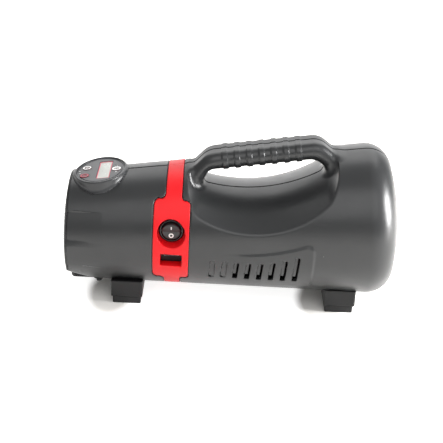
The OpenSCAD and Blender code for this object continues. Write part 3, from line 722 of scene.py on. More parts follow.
# ABS, spark-eroded mould: a satin charcoal that breaks highlights into a soft sheen
CASE_ABS = moulded("moulded_abs_charcoal", "#2a2b2c", "#262728", 0.33, 0.9, 0.03, specks=0.05)
# ABS, polished mould, dyed through: a clean strong red with a wide soft gloss
TRIM_ABS = moulded("polished_abs_red", "#ea121c", "#e21019", 0.42, 1.4, 0.012, ior=1.38)
# Glass-filled nylon: near black, a little rougher than the case
NYLON = moulded("glass_filled_nylon_black", "#121213", "#0e0e0f", 0.5, 0.8, 0.04, ior=1.4)
# Polished ABS of the switch collar: black with a tight gloss
GLOSS_ABS = moulded("polished_abs_black", "#111112", "#0e0e0f", 0.22, 1.6, 0.006)
# The rocker's own black: a finer spark finish that reads greyer than its collar
ROCKER_ABS = moulded("fine_textured_abs_black", "#1c1c1e", "#19191a", 0.36, 0.7, 0.02)
# Rubber of the soles and the cap: dull, open grain
RUBBER = moulded("moulded_rubber_black", "#1a1a1b", "#141415", 0.6, 1.1, 0.09, ior=1.42)
# Sprayed graphite lacquer on the face plate: paler than the pod, smooth, with a tight gloss
FACE_ABS = moulded("painted_abs_graphite", "#3a3b3e", "#36373a", 0.3, 0.7, 0.01)
# Pad-printed inks: a thin matt film, white, rose and a deeper ruby
INK_WHITE = moulded("printed_ink_white", "#f4f4f2", "#ededeb", 0.5, 1.0, 0.004)
INK_RED = moulded("printed_ink_red", "#e0667a", "#d65c70", 0.5, 1.0, 0.004)
INK_RUBY = moulded("printed_ink_ruby", "#b04858", "#a54050", 0.5, 1.0, 0.004)
# Tinted polycarbonate of the keys: unlit, so a dark wine red with a clean gloss
KEY_RED = moulded("tinted_polycarbonate_red", "#4a1419", "#401014", 0.3, 1.0, 0.004)
# Polished ABS of the pod: the case colour with a finer grain
POD_ABS = moulded("polished_abs_charcoal", "#2b2c2e", "#27282a", 0.33, 1.4, 0.01)
# Glass-filled nylon of the lead socket, dyed blue: satin, with a fine fibre grain
BLUE_NYLON = moulded("glass_filled_nylon_blue", "#2a4d8f", "#254584", 0.42, 0.9, 0.03)
# Polariser film of the unlit display: pale green grey, almost mirror smooth
LCD_FILM = moulded("lcd_polariser_film", "#c4c7c1", "#bec1bb", 0.25, 2.0, 0.002)
# Segments that are off: a shade darker than the film round them
LCD_SEGMENT = moulded("lcd_segment_unlit", "#adafaa", "#a6a8a4", 0.3, 2.0, 0.002)


def metal(name, colour, roughness, grain, depth):
    """A bare metal, its fine grain from drawing, tumbling or plating."""
    material, tree, where = new_finish(name)
    fine = add(tree, "ShaderNodeTexNoise", {"Vector": where, "Scale": per_metre(grain), "Detail": 3.0})
    rough = add(tree, "ShaderNodeMapRange",
                {"Value": fine, "To Min": roughness - 0.06, "To Max": roughness + 0.06})
    bump = add(tree, "ShaderNodeBump", {"Height": fine, "Distance": depth * MM})
    shader = add(tree, "ShaderNodeBsdfPrincipled", {"Base Color": linear(colour), "Metallic": 1.0,
                                                    "Roughness": rough, "Normal": bump})
    add(tree, "ShaderNodeOutputMaterial", {"Surface": shader})
    return material


def clear(name, colour, roughness):
    """Clear moulded polycarbonate with a faint haze."""
    material, tree, where = new_finish(name)
    haze = add(tree, "ShaderNodeTexNoise", {"Vector": where, "Scale": per_metre(12.0), "Detail": 2.0})
    rough = add(tree, "ShaderNodeMapRange", {"Value": haze, "To Min": roughness, "To Max": roughness + 0.06})
    shader = add(tree, "ShaderNodeBsdfPrincipled", {"Base Color": linear(colour), "Roughness": rough,
                                                    "IOR": 1.58, "Transmission Weight": 1.0})
    add(tree, "ShaderNodeOutputMaterial", {"Surface": shader})
    return material


# Zinc plated steel: pale grey, fine satin
STEEL = metal("zinc_plated_steel", "#b9bcc0", 0.34, 0.8, 0.004)
# Turned brass: warm yellow with a soft gloss
BRASS = metal("turned_brass", "#c9a24b", 0.28, 0.6, 0.004)
# Vacuum metallised plastic of the lamp mirror: bright, with a slight orange peel
CHROME = metal("vacuum_metallised_mirror", "#dcdee0", 0.12, 2.0, 0.001)
# Polycarbonate of the lamp window: water clear, with rings moulded on its inside
CLEAR_PC = clear("clear_polycarbonate", "#eef3f5", 0.03)

# ---------------------------------------------------------------- case halves and trims


JOINT_LINES = (-0.7, 0.13, 0.5)      # grid lines close to the flat joint face


def build_case():
    xs, ys, zs = grid(1.04, -141.5, 150.5, 1.6, 68.6, 3.5, 153.5)
    ys = np.concatenate([JOINT_LINES, [0.9], ys])
    for side, name in ((-1, "switch_side"), (1, "outlet_side")):
        shell = solid(name + "_half", shell_field(side), xs, ys, zs, side, hidden=inner_side)
        finish_piece(shell, CASE_ABS, "case", "case_plastic", name + "_shell", name + "_saddle",
                     name + "_handle", name + "_posts")


def inner_side(x, y, z):
    """Points of the case that nobody sees: the inner wall and the posts, below the handle."""
    case, scoop = case_field(x, y, z), scoop_field(x, y, z)
    within = WALL - 0.3
    return (np.maximum(case + within, within - scoop) < 0) & (z < 108)


def trim_skin(x, y, z):
    """The case's field, and the trim as a skin of thickness TRIM_T set flush in it."""
    case = case_field(x, y, z)
    return case, np.maximum(meet(case, trim_side(x, z, TRIM_GAP), 0.45), -(case + TRIM_T))


def switch_trim_field(x, y, z):
    """The switch side's trim with the cup behind the rocker switch and the USB pocket."""
    case, skin = trim_skin(x, y, z)
    px, pz, ux, uz = x - PANEL_X, z - SWITCH_Z, x - USB_X, z - USB_Z
    cup = np.maximum(np.hypot(px, pz) - RECESS_R - 1.6, np.maximum(SWITCH_Y - 2 - y, case + 0.4))
    box = np.maximum(rect(ux, uz, USB_W + 3.3, USB_H + 3.3, 1), np.maximum(40 - y, case + 0.4))
    body = np.minimum(skin, np.minimum(cup, box))
    body = bored(body, x, z, PANEL_X, SWITCH_Z, RECESS_R, SWITCH_Y - y, 0.45)
    body = bored(body, x, z, PANEL_X, SWITCH_Z, 10.1, SIDE_Y - y)
    body = cut(body, np.maximum(rect(ux, uz, USB_W + 0.3, USB_H + 0.3, 0.8), 42 - y), 0.35)
    return cut(body, np.maximum(rect(ux, uz - USB_PORT_DOWN, 15.4, 7.4, 0.6), SIDE_Y - y))


# The cap's hinge stands just clear of the trim, above the socket
HINGE_Z = SOCKET_Z + 10.6
HINGE_Y = case_r(PANEL_X) * math.cos(math.asin((HINGE_Z - axis_at(PANEL_X)) / case_r(PANEL_X))) + 2.1
HINGE_R = 0.75


def outlet_trim_field(x, y, z):
    """The outlet side's trim with its three openings and the two lugs of the cap's hinge."""
    case, skin = trim_skin(x, y, z)
    px = x - PANEL_X
    skin = cut(skin, rect(px, z - SOCKET_Z, SOCKET_W + 0.6, SOCKET_H + 0.6, 2), 0.35)
    for at_z, r in ((OUTLET_Z, OUTLET_R), (JACK_Z, JACK_R)):
        skin = cut(skin, np.hypot(px, z - at_z) - r, 0.35)
    ear = np.abs(np.abs(px) - 9.35) - 1.05
    eye = np.hypot(y - HINGE_Y, z - HINGE_Z)
    lug = np.maximum(np.minimum(eye, np.where(y < HINGE_Y, np.abs(z - HINGE_Z), 99)) - 2.0, -(case + 1))
    return cut(join(skin, meet(lug, ear, 0.3), 0.5), eye - HINGE_R - 0.2)


def build_trims():
    xs, ys, zs = grid(0.62, -67.5, -31.5, 1.0, 61.5, 8, 126)
    ys = np.concatenate([JOINT_LINES, ys])
    for side, name, field in ((-1, "switch_side", switch_trim_field), (1, "outlet_side", outlet_trim_field)):
        def half(x, y, z, whole=field):
            return meet(whole(x, y, z), 0.14 - y, 0.25)

        band = solid(name + "_band", half, xs, ys, zs, side, hidden=behind_trim)
        finish_piece(band, TRIM_ABS, "case", "trim_plastic", name + "_trim")


def behind_trim(x, y, z):
    """The trim's back, against the case."""
    return np.abs(case_field(x, y, z) + TRIM_T) < 0.1


build_case()
build_trims()

# ---------------------------------------------------------------- turned and flat pieces


def frame_at(origin, x_axis, z_axis):
    """A placing matrix in millimetres from an origin and two of its axes."""
    x_axis, z_axis = np.array(x_axis, float), np.array(z_axis, float)
    m = np.eye(4)
    m[:3, :4] = np.column_stack([x_axis, np.cross(z_axis, x_axis), z_axis, origin])
    return m


def outward(side, x, z):
    """A frame whose height runs straight out of the given side."""
    return frame_at((x, 0, z), (1, 0, 0), (0, side, 0))


def forward(y, z):
    """A frame whose height runs along +X."""
    return frame_at((0, y, z), (0, 0, -1), (1, 0, 0))


POD = frame_at((POD_X, 0, POD_Z), (math.cos(POD_TILT), 0, math.sin(POD_TILT)),
               (-math.sin(POD_TILT), 0, math.cos(POD_TILT)))


def moved(place, u, v, w=0.0):
    """The same frame with its origin moved along its own axes."""
    return place @ frame_at((u, v, w), (1, 0, 0), (0, 0, 1))


def eased(corners, n=4):
    """A closed outline from (u, v, radius) corners, each round one in n steps."""
    out = []
    for i, (x, y, r) in enumerate(corners):
        if r <= 0:
            out.append((x, y))
            continue
        p = np.array([x, y], float)
        a = np.array(corners[i - 1][:2], float) - p
        b = np.array(corners[(i + 1) % len(corners)][:2], float) - p
        a, b = a / np.linalg.norm(a), b / np.linalg.norm(b)
        half = math.acos(float(a @ b)) / 2
        centre = p + (a + b) / np.linalg.norm(a + b) * r / math.sin(half)
        start, end = (p + way * r / math.tan(half) - centre for way in (a, b))
        first = math.atan2(start[1], start[0])
        sweep = (math.atan2(end[1], end[0]) - first + math.pi) % (2 * math.pi) - math.pi
        for k in range(n + 1):
            turn = first + sweep * k / n
            out.append((centre[0] + r * math.cos(turn), centre[1] + r * math.sin(turn)))
    return out


def block(w, h, r, u=0.0, v=0.0):
    """Outline of a w by h rectangle about (u, v) with corners of radius r."""
    return eased([(u - w / 2, v - h / 2, r), (u + w / 2, v - h / 2, r),
                  (u + w / 2, v + h / 2, r), (u - w / 2, v + h / 2, r)])


def settled(obj, place, crease):
    """Puts a piece drawn in millimetres in its place, turns its faces outwards and keeps its sharp edges."""
    mesh = obj.data
    co = read(mesh.vertices, "co", 3)
    co = (co @ place[:3, :3].T + place[:3, 3]) * MM
    mesh.vertices.foreach_set("co", co.astype(np.float32).ravel())
    work = bmesh.new()
    work.from_mesh(mesh)
    bmesh.ops.recalc_face_normals(work, faces=work.faces)
    work.to_mesh(mesh)
    work.free()
    mesh.update()
    mesh.shade_smooth()
    mesh.set_sharp_from_angle(angle=math.radians(crease))
    return obj


def turned(name, outline, place, segments=72, crease=32):
    """A turned piece: an outline of (radius, height) points carried round the frame's height."""
    points, faces, rings = [], [], []
    turns = [2 * math.pi * i / segments for i in range(segments)]
    for r, h in outline:
        count = 1 if r < 1e-6 else segments
        rings.append([len(points) + i for i in range(count)])
        points += [(r * math.cos(turn), r * math.sin(turn), h) for turn in turns[:count]]
    for a, b in zip(rings, rings[1:] + rings[:1]):
        if len(a) + len(b) > 2:
            for i in range(segments):
                j = (i + 1) % segments
                corners = (a[i % len(a)], a[j % len(a)], b[j % len(b)], b[i % len(b)])
                faces.append(tuple(dict.fromkeys(corners)))
    return settled(flesh(name, points, faces), place, crease)


def plates(name, outlines, low, high, place, bevel=0.0):
    """Flat pieces from closed outlines, from height low to high, their edges softened."""
    points, faces = [], []
    for outline in outlines:
        n, k = len(outline), len(points)
        points += [(u, v, low) for u, v in outline] + [(u, v, high) for u, v in outline]
        faces += [tuple(range(k + n - 1, k - 1, -1)), tuple(range(k + n, k + 2 * n))]
        faces += [(k + i, k + (i + 1) % n, k + n + (i + 1) % n, k + n + i) for i in range(n)]
    obj = flesh(name, points, faces)
    if bevel:
        modifier = obj.modifiers.new("soften", "BEVEL")
        modifier.width, modifier.segments, modifier.limit_method = bevel, 2, "ANGLE"
        modifier.angle_limit = math.radians(50)
        baked(obj)
    return settled(obj, place, 32)


# ---------------------------------------------------------------- nose lamp
LAMP_Z = axis_at(RIM_X)
NOSE = forward(0, LAMP_Z)
FACE_X = -143.6         # front edge of the bezel
SEAT_X = -140.8         # back of the lens
WINDOW_R = 33.8         # the lens where it shows, and its flange behind the bezel
FLANGE_R = 36.9
LENS_R = 96.7
LENS_STEP = 3.1         # pitch of the rings inside the lens


def build_bezel():
    """The ring round the lamp, worn by the finger recesses and cut for the flats, the leg and its mount."""
    rim = case_r(RIM_X) - 0.3
    spigot = case_r(RIM_X) - WALL - 0.4
    outline = eased([(34, FACE_X, 0.5), (41, FACE_X + 0.7, 1.5), (rim, FACE_X + 2.1, 1.1),
                     (rim, RIM_X - 0.2, 0.2), (spigot, RIM_X - 0.2, 0), (spigot, -134, 0),
                     (spigot - 2.2, -134, 0), (spigot - 2.2, SEAT_X + 0.2, 0),
                     (FLANGE_R + 0.3, SEAT_X + 0.2, 0), (FLANGE_R + 0.3, FACE_X + 1.2, 0),
                     (34, FACE_X + 1.2, 0)])

    def bezel(x, y, z):
        r = np.hypot(y, z - LAMP_Z)
        worn = 0.8 * nose_grips(np.maximum(x, RIM_X), np.abs(y), z) * ramp(44, 48, r)
        leg_gap = np.maximum(np.abs(y) - LEG_HALF - 1, z - 14)
        field = np.maximum(polygon(r + worn, x, outline), -leg_gap)
        flat = flank_flat(x, y, z)
        field = np.maximum(field, np.maximum(flat, np.minimum(flat + WALL + 0.3, x - RIM_X + 0.2)))
        mount_gap = np.maximum(RIM_X - 0.2 - x, np.maximum(np.abs(y) - 14.7, z - 17))
        return np.maximum(field, -mount_gap)

    ring = solid("nose_bezel", bezel, *grid(0.8, -145, -133, -49.4, 49.4, 8.6, 108.4))
    finish_piece(ring, CASE_ABS, "case", "case_plastic", "front_bezel")


def build_lamp():
    """The lens, domed outside and stepped inside, and the mirror bowl behind it."""
    middle = LENS_R - BODY_LEN / 2
    dome = [(r, middle - math.sqrt(LENS_R ** 2 - r * r)) for r in np.linspace(0, WINDOW_R, 14)]
    flange = [(WINDOW_R, -142.2), (FLANGE_R, -142.2), (FLANGE_R, SEAT_X)]
    steps = [point for r in np.arange(32, 1, -LENS_STEP) for point in ((r, SEAT_X), (r - 2.9, SEAT_X - 0.8))]
    lens = turned("lamp_window", dome + flange + steps + [(0, SEAT_X - 0.8)], NOSE, 96)
    finish_piece(lens, CLEAR_PC, "case", "lens_clear", "lamp_lens")
    bowl = [(12 + 23.9 * t ** 0.62, -119.4 - 20 * t) for t in np.linspace(0, 1, 9)]
    back = [(r + 0.9, h) for r, h in reversed(bowl[:-1])]
    outline = bowl + [(36.8, -140.5), (36.8, -139)] + back + [(9, -118.9), (9, -119.6)]
    mirror = turned("lamp_mirror", outline, NOSE, 36, 1)
    finish_piece(mirror, CHROME, "case", "reflector_metal", "lamp_reflector")


# ---------------------------------------------------------------- display pod
FACE_T = 1.6
LCD_TOP = -0.42


def build_pod():
    def pod(u, v, w):
        x = POD_X + u * math.cos(POD_TILT) - w * math.sin(POD_TILT)
        z = POD_Z + u * math.sin(POD_TILT) + w * math.cos(POD_TILT)
        case = case_field(x, v, z)
        body = meet(pod_oval(u, v, -0.8), w - 0.6, 1.1)
        body = np.maximum(join(body, case + 0.4, 3.4), 0.03 - case)
        body = np.minimum(body, np.maximum(pod_oval(u, v, 3.2), np.maximum(w, -14 - w)))
        body = np.maximum(body, -np.maximum(pod_oval(u, v, 4.8), -12.6 - w))
        for bu, bv in BUTTONS.values():
            body = np.maximum(body, -np.maximum(np.hypot(u - bu, v - bv) - BUTTON_R - 0.4, -3.4 - w))
        return cut(body, np.maximum(pod_oval(u, v, 1.2), -FACE_T - 0.1 - w), 0.25)

    body = solid("pod_body", pod, *grid(0.7, -31, 31, -37, 37, -15, 1.6), place=POD)
    finish_piece(body, POD_ABS, "case", "gloss_black", "display_pod")


def build_face():
    def face(u, v, w):
        plate = meet(pod_oval(u, v, 1.4), np.abs(w + FACE_T / 2) - FACE_T / 2, 0.3)
        for bu, bv in BUTTONS.values():
            plate = cut(plate, np.hypot(u - bu, v - bv) - BUTTON_R - 0.2, 0.2)
        plate = cut(plate, rect(u - LCD_U, v, LCD_W + 0.6, LCD_L + 0.6, 0.6), 0.15)
        groove = np.maximum(np.abs(pod_oval(u, v, 3.0)) - 0.45, -0.35 - w)
        return cut(plate, groove, 0.15)

    levels = span(-2, 0.4, 0.3)
    plate = solid("display_plate", face, *grid(0.42, -21.2, 21.2, -26.7, 26.7), levels, place=POD)
    finish_piece(plate, FACE_ABS, "case", "display_gloss", "display_face")
    dots = [block(1.2, 1.2, 0.3, -18.9, 0.5), block(1.5, 0.6, 0.1, -18.2, -4.5),
            block(0.6, 0.6, 0.2, 14.2, 6.3), block(1.6, 0.8, 0.2, 14.2, -6.8)]
    finish_piece(plates("display_ticks", dots, -0.05, 0.06, POD), INK_WHITE, "case", "display_gloss")


def build_lcd():
    """The display under its window: tray, film, printed border and four figures that are off."""
    here = moved(POD, LCD_U, 0)
    glass = plates("lcd_glass", [block(LCD_W, LCD_L, 0.5)], -1.7, LCD_TOP, here, 0.12)
    finish_piece(glass, LCD_FILM, "case", "lcd_film")
    tray = plates("lcd_tray", [block(LCD_W + 1, LCD_L + 2.4, 0.5)], -4.2, -1.72, here, 0.2)
    finish_piece(tray, LCD_FILM, "case", "lcd_film", "lcd_module")
    border = [block(LCD_W, 0.9, 0, 0, way * (LCD_L - 0.9) / 2) for way in (-1, 1)]
    border += [block(0.7, LCD_L - 1.8, 0, way * (LCD_W - 0.7) / 2) for way in (-1, 1)]
    finish_piece(plates("lcd_border", border, LCD_TOP, -0.3, here), INK_RED, "case", "lcd_film")
    finish_piece(plates("lcd_digits", lcd_segments(), LCD_TOP, -0.39, here), LCD_SEGMENT, "case", "lcd_film")


def lcd_segments():
    """Bars of four figures, read across the case."""
    bars = []
    for k in range(4):
        v = -12.6 + 8.4 * k
        bars += [block(0.7, 3.4, 0.2, u, v) for u in (-3.0, 0.0, 3.0)]
        bars += [block(2.3, 0.7, 0.2, u, v + way * 2.3) for u in (-1.5, 1.5) for way in (-1, 1)]
    return bars


def arc_bar(r, w, start, end, n=14):
    """A strip of width w bent round an arc of radius r, angles in degrees."""
    turn = [math.radians(start + (end - start) * i / n) for i in range(n + 1)]
    edges = ((r + w / 2, turn), (r - w / 2, turn[::-1]))
    return [(radius * math.cos(t), radius * math.sin(t)) for radius, way in edges for t in way]


def build_keys():
    """The three buttons, each with a printed ring and a plain mark."""
    cap = eased([(0, -4.6, 0), (2, -4.6, 0), (2, -1.6, 0), (BUTTON_R, -1.6, 0), (BUTTON_R, 0.4, 0.35),
                 (3.2, 0.4, 0), (2.4, 0.28, 0), (0, 0.24, 0)], 3)
    marks = {"mode": [block(0.5, 2.0, 0.1, u) for u in (-0.8, 0.0, 0.8)],
             "unit": [eased([(-1.0, -1.0, 0.1), (1.1, 0, 0.1), (-1.0, 1.0, 0.1)], 2)],
             "power": [arc_bar(1.35, 0.5, 40, 320), block(1.5, 0.5, 0.1, 1.1)]}
    rings = {"mode": (2.5, 3.75), "unit": (2.5, 3.75), "power": (2.3, 3.95)}
    inks = {"mode": INK_WHITE, "unit": INK_RUBY, "power": INK_WHITE}
    for name, (u, v) in BUTTONS.items():
        here, body, (inner, outer) = moved(POD, u, v), name + "_key", rings[name]
        finish_piece(turned(body + "_cap", cap, here, 56), KEY_RED, body, "display_gloss", name + "_button")
        ring = [(inner, 0.36), (outer, 0.36), (outer, 0.47), (inner, 0.47)]
        finish_piece(turned(body + "_ring", ring, here, 56), inks[name], body, "display_gloss")
        finish_piece(plates(body + "_mark", marks[name], 0.2, 0.33, here), inks[name], body, "display_gloss")


# ---------------------------------------------------------------- rocker switch and USB port


def build_switch():
    """The round rocker switch: collar and body, blades, the rocker with its pin, and its two marks."""
    here = outward(-1, PANEL_X, SWITCH_Z)
    outline = eased([(0, 27, 0), (10, 27, 0.5), (10, 44.25, 0), (11.2, 44.25, 0), (11.2, 45.3, 0.6),
                     (9.7, 46.6, 0.5), (9.1, 46.4, 0.3), (8.72, 45.6, 0.3), (8.72, 36.2, 0), (0, 36.2, 0)])
    finish_piece(turned("switch_collar", outline, here, 96), GLOSS_ABS, "case", "gloss_black", "switch_body")
    blades = [block(0.8, 6, 0.1, way * 5, 0) for way in (-1, 1)]
    finish_piece(plates("switch_blades", blades, 20, 27.2, here, 0.1), BRASS, "case", "brass")
    tilt = math.radians(10)
    key = frame_at((PANEL_X, -SWITCH_Y - 0.8, SWITCH_Z), (1, 0, 0), (0, -math.cos(tilt), -math.sin(tilt)))

    def rocker(a, b, h):
        ball = np.sqrt(a * a + b * b + h * h) - 8.4
        face = h - ROCKER_H - ROCKER_LEAN * np.abs(b)
        pin = np.maximum(np.hypot(b, h) - 1.2, np.abs(a) - 9.2)
        return np.minimum(meet(np.maximum(ball, -2.6 - h), face, 0.7), pin)

    disc = solid("rocker_disc", rocker, *grid(0.36, -9.6, 9.6, -9, 9, -3.2, 4.2), place=key)
    finish_piece(disc, ROCKER_ABS, "rocker", "gloss_black", "switch_rocker")
    lean = math.atan(ROCKER_LEAN)
    for name, b, up in (("rocker_mark_on", 4.1, 1), ("rocker_mark_off", -3.7, -1)):
        at = (0, b, ROCKER_H + ROCKER_LEAN * abs(b))
        face = key @ frame_at(at, (1, 0, 0), (0, -up * math.sin(lean), math.cos(lean)))
        if up > 0:
            mark = plates(name, [block(0.85, 3.3, 0.15)], -0.1, 0.07, face)
        else:
            mark = turned(name, [(1.15, -0.1), (2.2, -0.1), (2.2, 0.07), (1.15, 0.07)], face, 48)
        finish_piece(mark, INK_WHITE, "rocker", "gloss_black")


def build_usb():
    """The USB port in its pocket: housing with its tongue, steel sleeve and contacts."""
    here = outward(-1, USB_X, USB_Z)

    def housing(u, v, h):
        down = v - USB_PORT_DOWN
        plate = meet(rect(u, v, USB_W, USB_H, 0.7), np.abs(h - 42.45) - 0.4, 0.2)
        body = np.minimum(plate, np.maximum(rect(u, down, 14.6, 6.6, 0.4), np.abs(h - 35.6) - 7))
        body = cut(body, np.maximum(rect(u, down, 12.9, 5.6, 0.5), 30 - h), 0.15)
        tongue = np.maximum(rect(u, down - 1, 11.2, 1.9, 0.2), np.abs(h - 35.4) - 5.6)
        return np.minimum(body, tongue)

    port = solid("usb_housing", housing, *grid(0.4, -9.6, 9.6, -6.6, 6.6, 28, 43.4), place=here)
    finish_piece(port, NYLON, "case", "black_plastic", "usb_socket")

    def sleeve(u, v, h):
        return np.maximum(np.abs(rect(u, v - USB_PORT_DOWN, 12.6, 5.4, 0.5)) - 0.13, np.abs(h - 36.8) - 6.2)

    lines = (span(-6.8, 6.8, 0.2), span(-1, 5.4, 0.2), span(30, 43.6, 0.8))
    finish_piece(solid("usb_sleeve", sleeve, *lines, place=here), STEEL, "case", "steel")
    contacts = [block(1.1, 0.16, 0, x, 2.18) for x in (-3.6, -1.2, 1.2, 3.6)]
    finish_piece(plates("usb_contacts", contacts, 32, 40.4, here), BRASS, "case", "brass")


# ---------------------------------------------------------------- outlet side fittings
FLAP_T = 2.3            # how far the cap stands off the case
FLAP_DROP = 1.3         # how far the middle of the cap is below the socket's


def build_socket():
    """The two-pin socket for the jump leads and its contact sleeves."""

    def socket(x, y, z):
        px, pz = x - PANEL_X, z - SOCKET_Z
        body = np.maximum(rect(px, pz, SOCKET_W, SOCKET_H, 2), np.maximum(24 - y, case_field(x, y, z) + 0.4))
        body = cut(body, np.maximum(rect(px, pz, SOCKET_W - 3.2, SOCKET_H - 3.2, 1.6), 44 - y), 0.4)
        return cut(body, np.maximum(np.hypot(np.abs(px) - CONTACT_OFF, pz) - CONTACT_R, 32 - y), 0.4)

    port = solid("jump_port", socket, *grid(0.55, -63, -36, 23, 55, 55.4, 72.6))
    finish_piece(port, BLUE_NYLON, "case", "socket_blue", "jump_socket")
    inner, outer = CONTACT_R - 0.15, CONTACT_R + 0.2
    sleeve = [(inner, 33), (outer, 33), (outer, 43.6), (inner, 43.6)]
    for name, off in (("front", -CONTACT_OFF), ("rear", CONTACT_OFF)):
        ring = turned("jump_contact_" + name, sleeve, outward(1, PANEL_X + off, SOCKET_Z), 48)
        finish_piece(ring, BRASS, "case", "brass")


def build_flap():
    """The rubber cap over the socket: a lid with grip ribs and a groove, strapped to its hinge pin."""

    def flap(x, y, z):
        case = case_field(x, y, z)
        px, pz = x - PANEL_X, z - SOCKET_Z
        drop = pz + FLAP_DROP
        body = np.maximum(meet(rect(px, drop, 27, 17, 3), case - FLAP_T, 0.8), 0.3 - case)
        rib = np.maximum(np.abs(np.mod(pz + 8.4, 1.8) - 0.9) - 0.45, rect(px, pz + 5.4, 12, 4.8, 1.2))
        rib = np.maximum(rib, np.maximum(case - FLAP_T - 0.45, 0.6 - case))
        body = np.where(case > 0.6, join(body, rib, 0.2), body)
        groove = np.abs(rect(px, drop, 22.6, 12.6, 1.8)) - 0.35
        body = cut(body, np.maximum(groove, FLAP_T - 0.3 - case), 0.15)
        hinge = np.hypot(y - HINGE_Y, z - HINGE_Z)
        body = np.minimum(body, np.maximum(hinge - HINGE_R, np.abs(px) - 10))
        strap = np.maximum(np.abs(y - HINGE_Y) - 0.9, np.abs(pz - 7.9) - 2.7)
        return join(body, np.maximum(np.minimum(hinge - 1.4, strap), np.abs(px) - 7.6), 0.3)

    cap = solid("socket_flap", flap, *grid(0.5, -63.8, -35.2, 50, 60.2, 53.4, 76.8))
    finish_piece(cap, RUBBER, "cap", "pad_rubber", "socket_cap")


def build_jack_and_barb():
    """The charging jack and the hose barb, both turned pieces through the panel."""
    jack = eased([(0, 28, 0), (4, 28, 0.3), (4, 34, 0), (5.4, 34, 0), (5.4, 50.5, 0.6), (3.7, 50.5, 0.3),
                  (3.4, 49.9, 0), (2.8, 49.6, 0), (2.8, 38, 0), (0, 38, 0)])
    jack = turned("charge_port", jack, outward(1, PANEL_X, JACK_Z), 64)
    finish_piece(jack, NYLON, "case", "black_plastic", "charge_jack")
    barb = [(1.2, 38), (1.9, 38), (1.9, 46), (6.7, 46), (7.0, 46.3), (7.0, 50.0), (6.5, 50.6), (4.1, 50.6),
            (4.1, 54.6), (4.6, 54.7), (4.2, 56.2), (4.1, 56.3), (4.1, 59.3), (3.5, 60), (1.6, 60),
            (1.2, 59.6)]
    barb = turned("hose_barb", barb, outward(1, PANEL_X, OUTLET_Z), 64)
    finish_piece(barb, BRASS, "case", "brass", "air_outlet")


# ---------------------------------------------------------------- feet and prop leg


def build_feet():
    """Two feet across the underside, each cut to the case above and with a treaded rubber sole."""
    foot_h = FOOT_TOP - PAD_H
    for end, fx in FEET_X.items():
        def foot(x, y, z, cx=fx):
            level = np.abs(z - PAD_H - foot_h / 2) - foot_h / 2
            body = meet(rect(x - cx, y, FOOT_L, FOOT_W, 1.6), level, 0.9)
            return np.maximum(body, 0.03 - case_field(x, y, z))

        def pad(x, y, z, cx=fx):
            level = np.abs(z - PAD_H / 2) - PAD_H / 2
            body = meet(rect(x - cx, y, FOOT_L - 3, FOOT_W - 2.4, 1.4), level, 0.7)
            tread = np.maximum(np.abs(np.mod(x - cx, 4.0) - 2.0) - 0.6, z - 1.0)
            return cut(body, np.maximum(tread, rect(x - cx, y, 20, 71, 1)), 0.2)

        rest = solid(end + "_foot_block", foot, *grid(0.8, fx - 15, fx + 15, -41, 41, 6.2, 23.4))
        finish_piece(rest, NYLON, "case", "black_plastic", end + "_foot")
        sole = solid(end + "_foot_sole", pad, *grid(0.8, fx - 15, fx + 15, -40, 40, -0.6, 7.7))
        finish_piece(sole, RUBBER, "case", "pad_rubber", end + "_pad")


def build_leg():
    """The fold-out prop leg, folded: a ribbed bar that tapers to its tip, with its knuckle and pin hole."""
    side = eased([(LEG_TIP, 7.7, 1.6), (LEG_X, 7.7, 0), (LEG_X, 13, 0), (LEG_TIP, 13, 2.4)])

    def leg(x, y, z):
        bar = meet(polygon(x, z, side), np.abs(y) - LEG_HALF, 0.7)
        bar = np.maximum(bar, (LEG_TIP - x + np.abs(y) - LEG_HALF + 3) / math.sqrt(2))
        knuckle = np.hypot(x - LEG_X, z - LEG_Z)
        bar = np.minimum(bar, np.maximum(knuckle - 2.7, np.abs(y) - LEG_HALF))
        ribs = np.maximum(np.abs(np.mod(x - LEG_TIP, 2.4) - 1.2) - 0.4, 12.6 - z)
        ribs = np.maximum(ribs, rect(x - LEG_TIP - 6, y, 8, 12, 1))
        return np.maximum(cut(bar, ribs, 0.15), 1.55 - knuckle)

    prop = solid("prop_bar", leg, *grid(0.45, -142.4, -112.4, -9.3, 9.3, 6.8, 13.8))
    finish_piece(prop, NYLON, "leg", "black_plastic", "prop_leg")


for build in (build_bezel, build_lamp, build_pod, build_face, build_lcd, build_keys, build_switch, build_usb,
              build_socket, build_flap, build_jack_and_barb, build_feet, build_leg):
    build()

# ---------------------------------------------------------------- screws


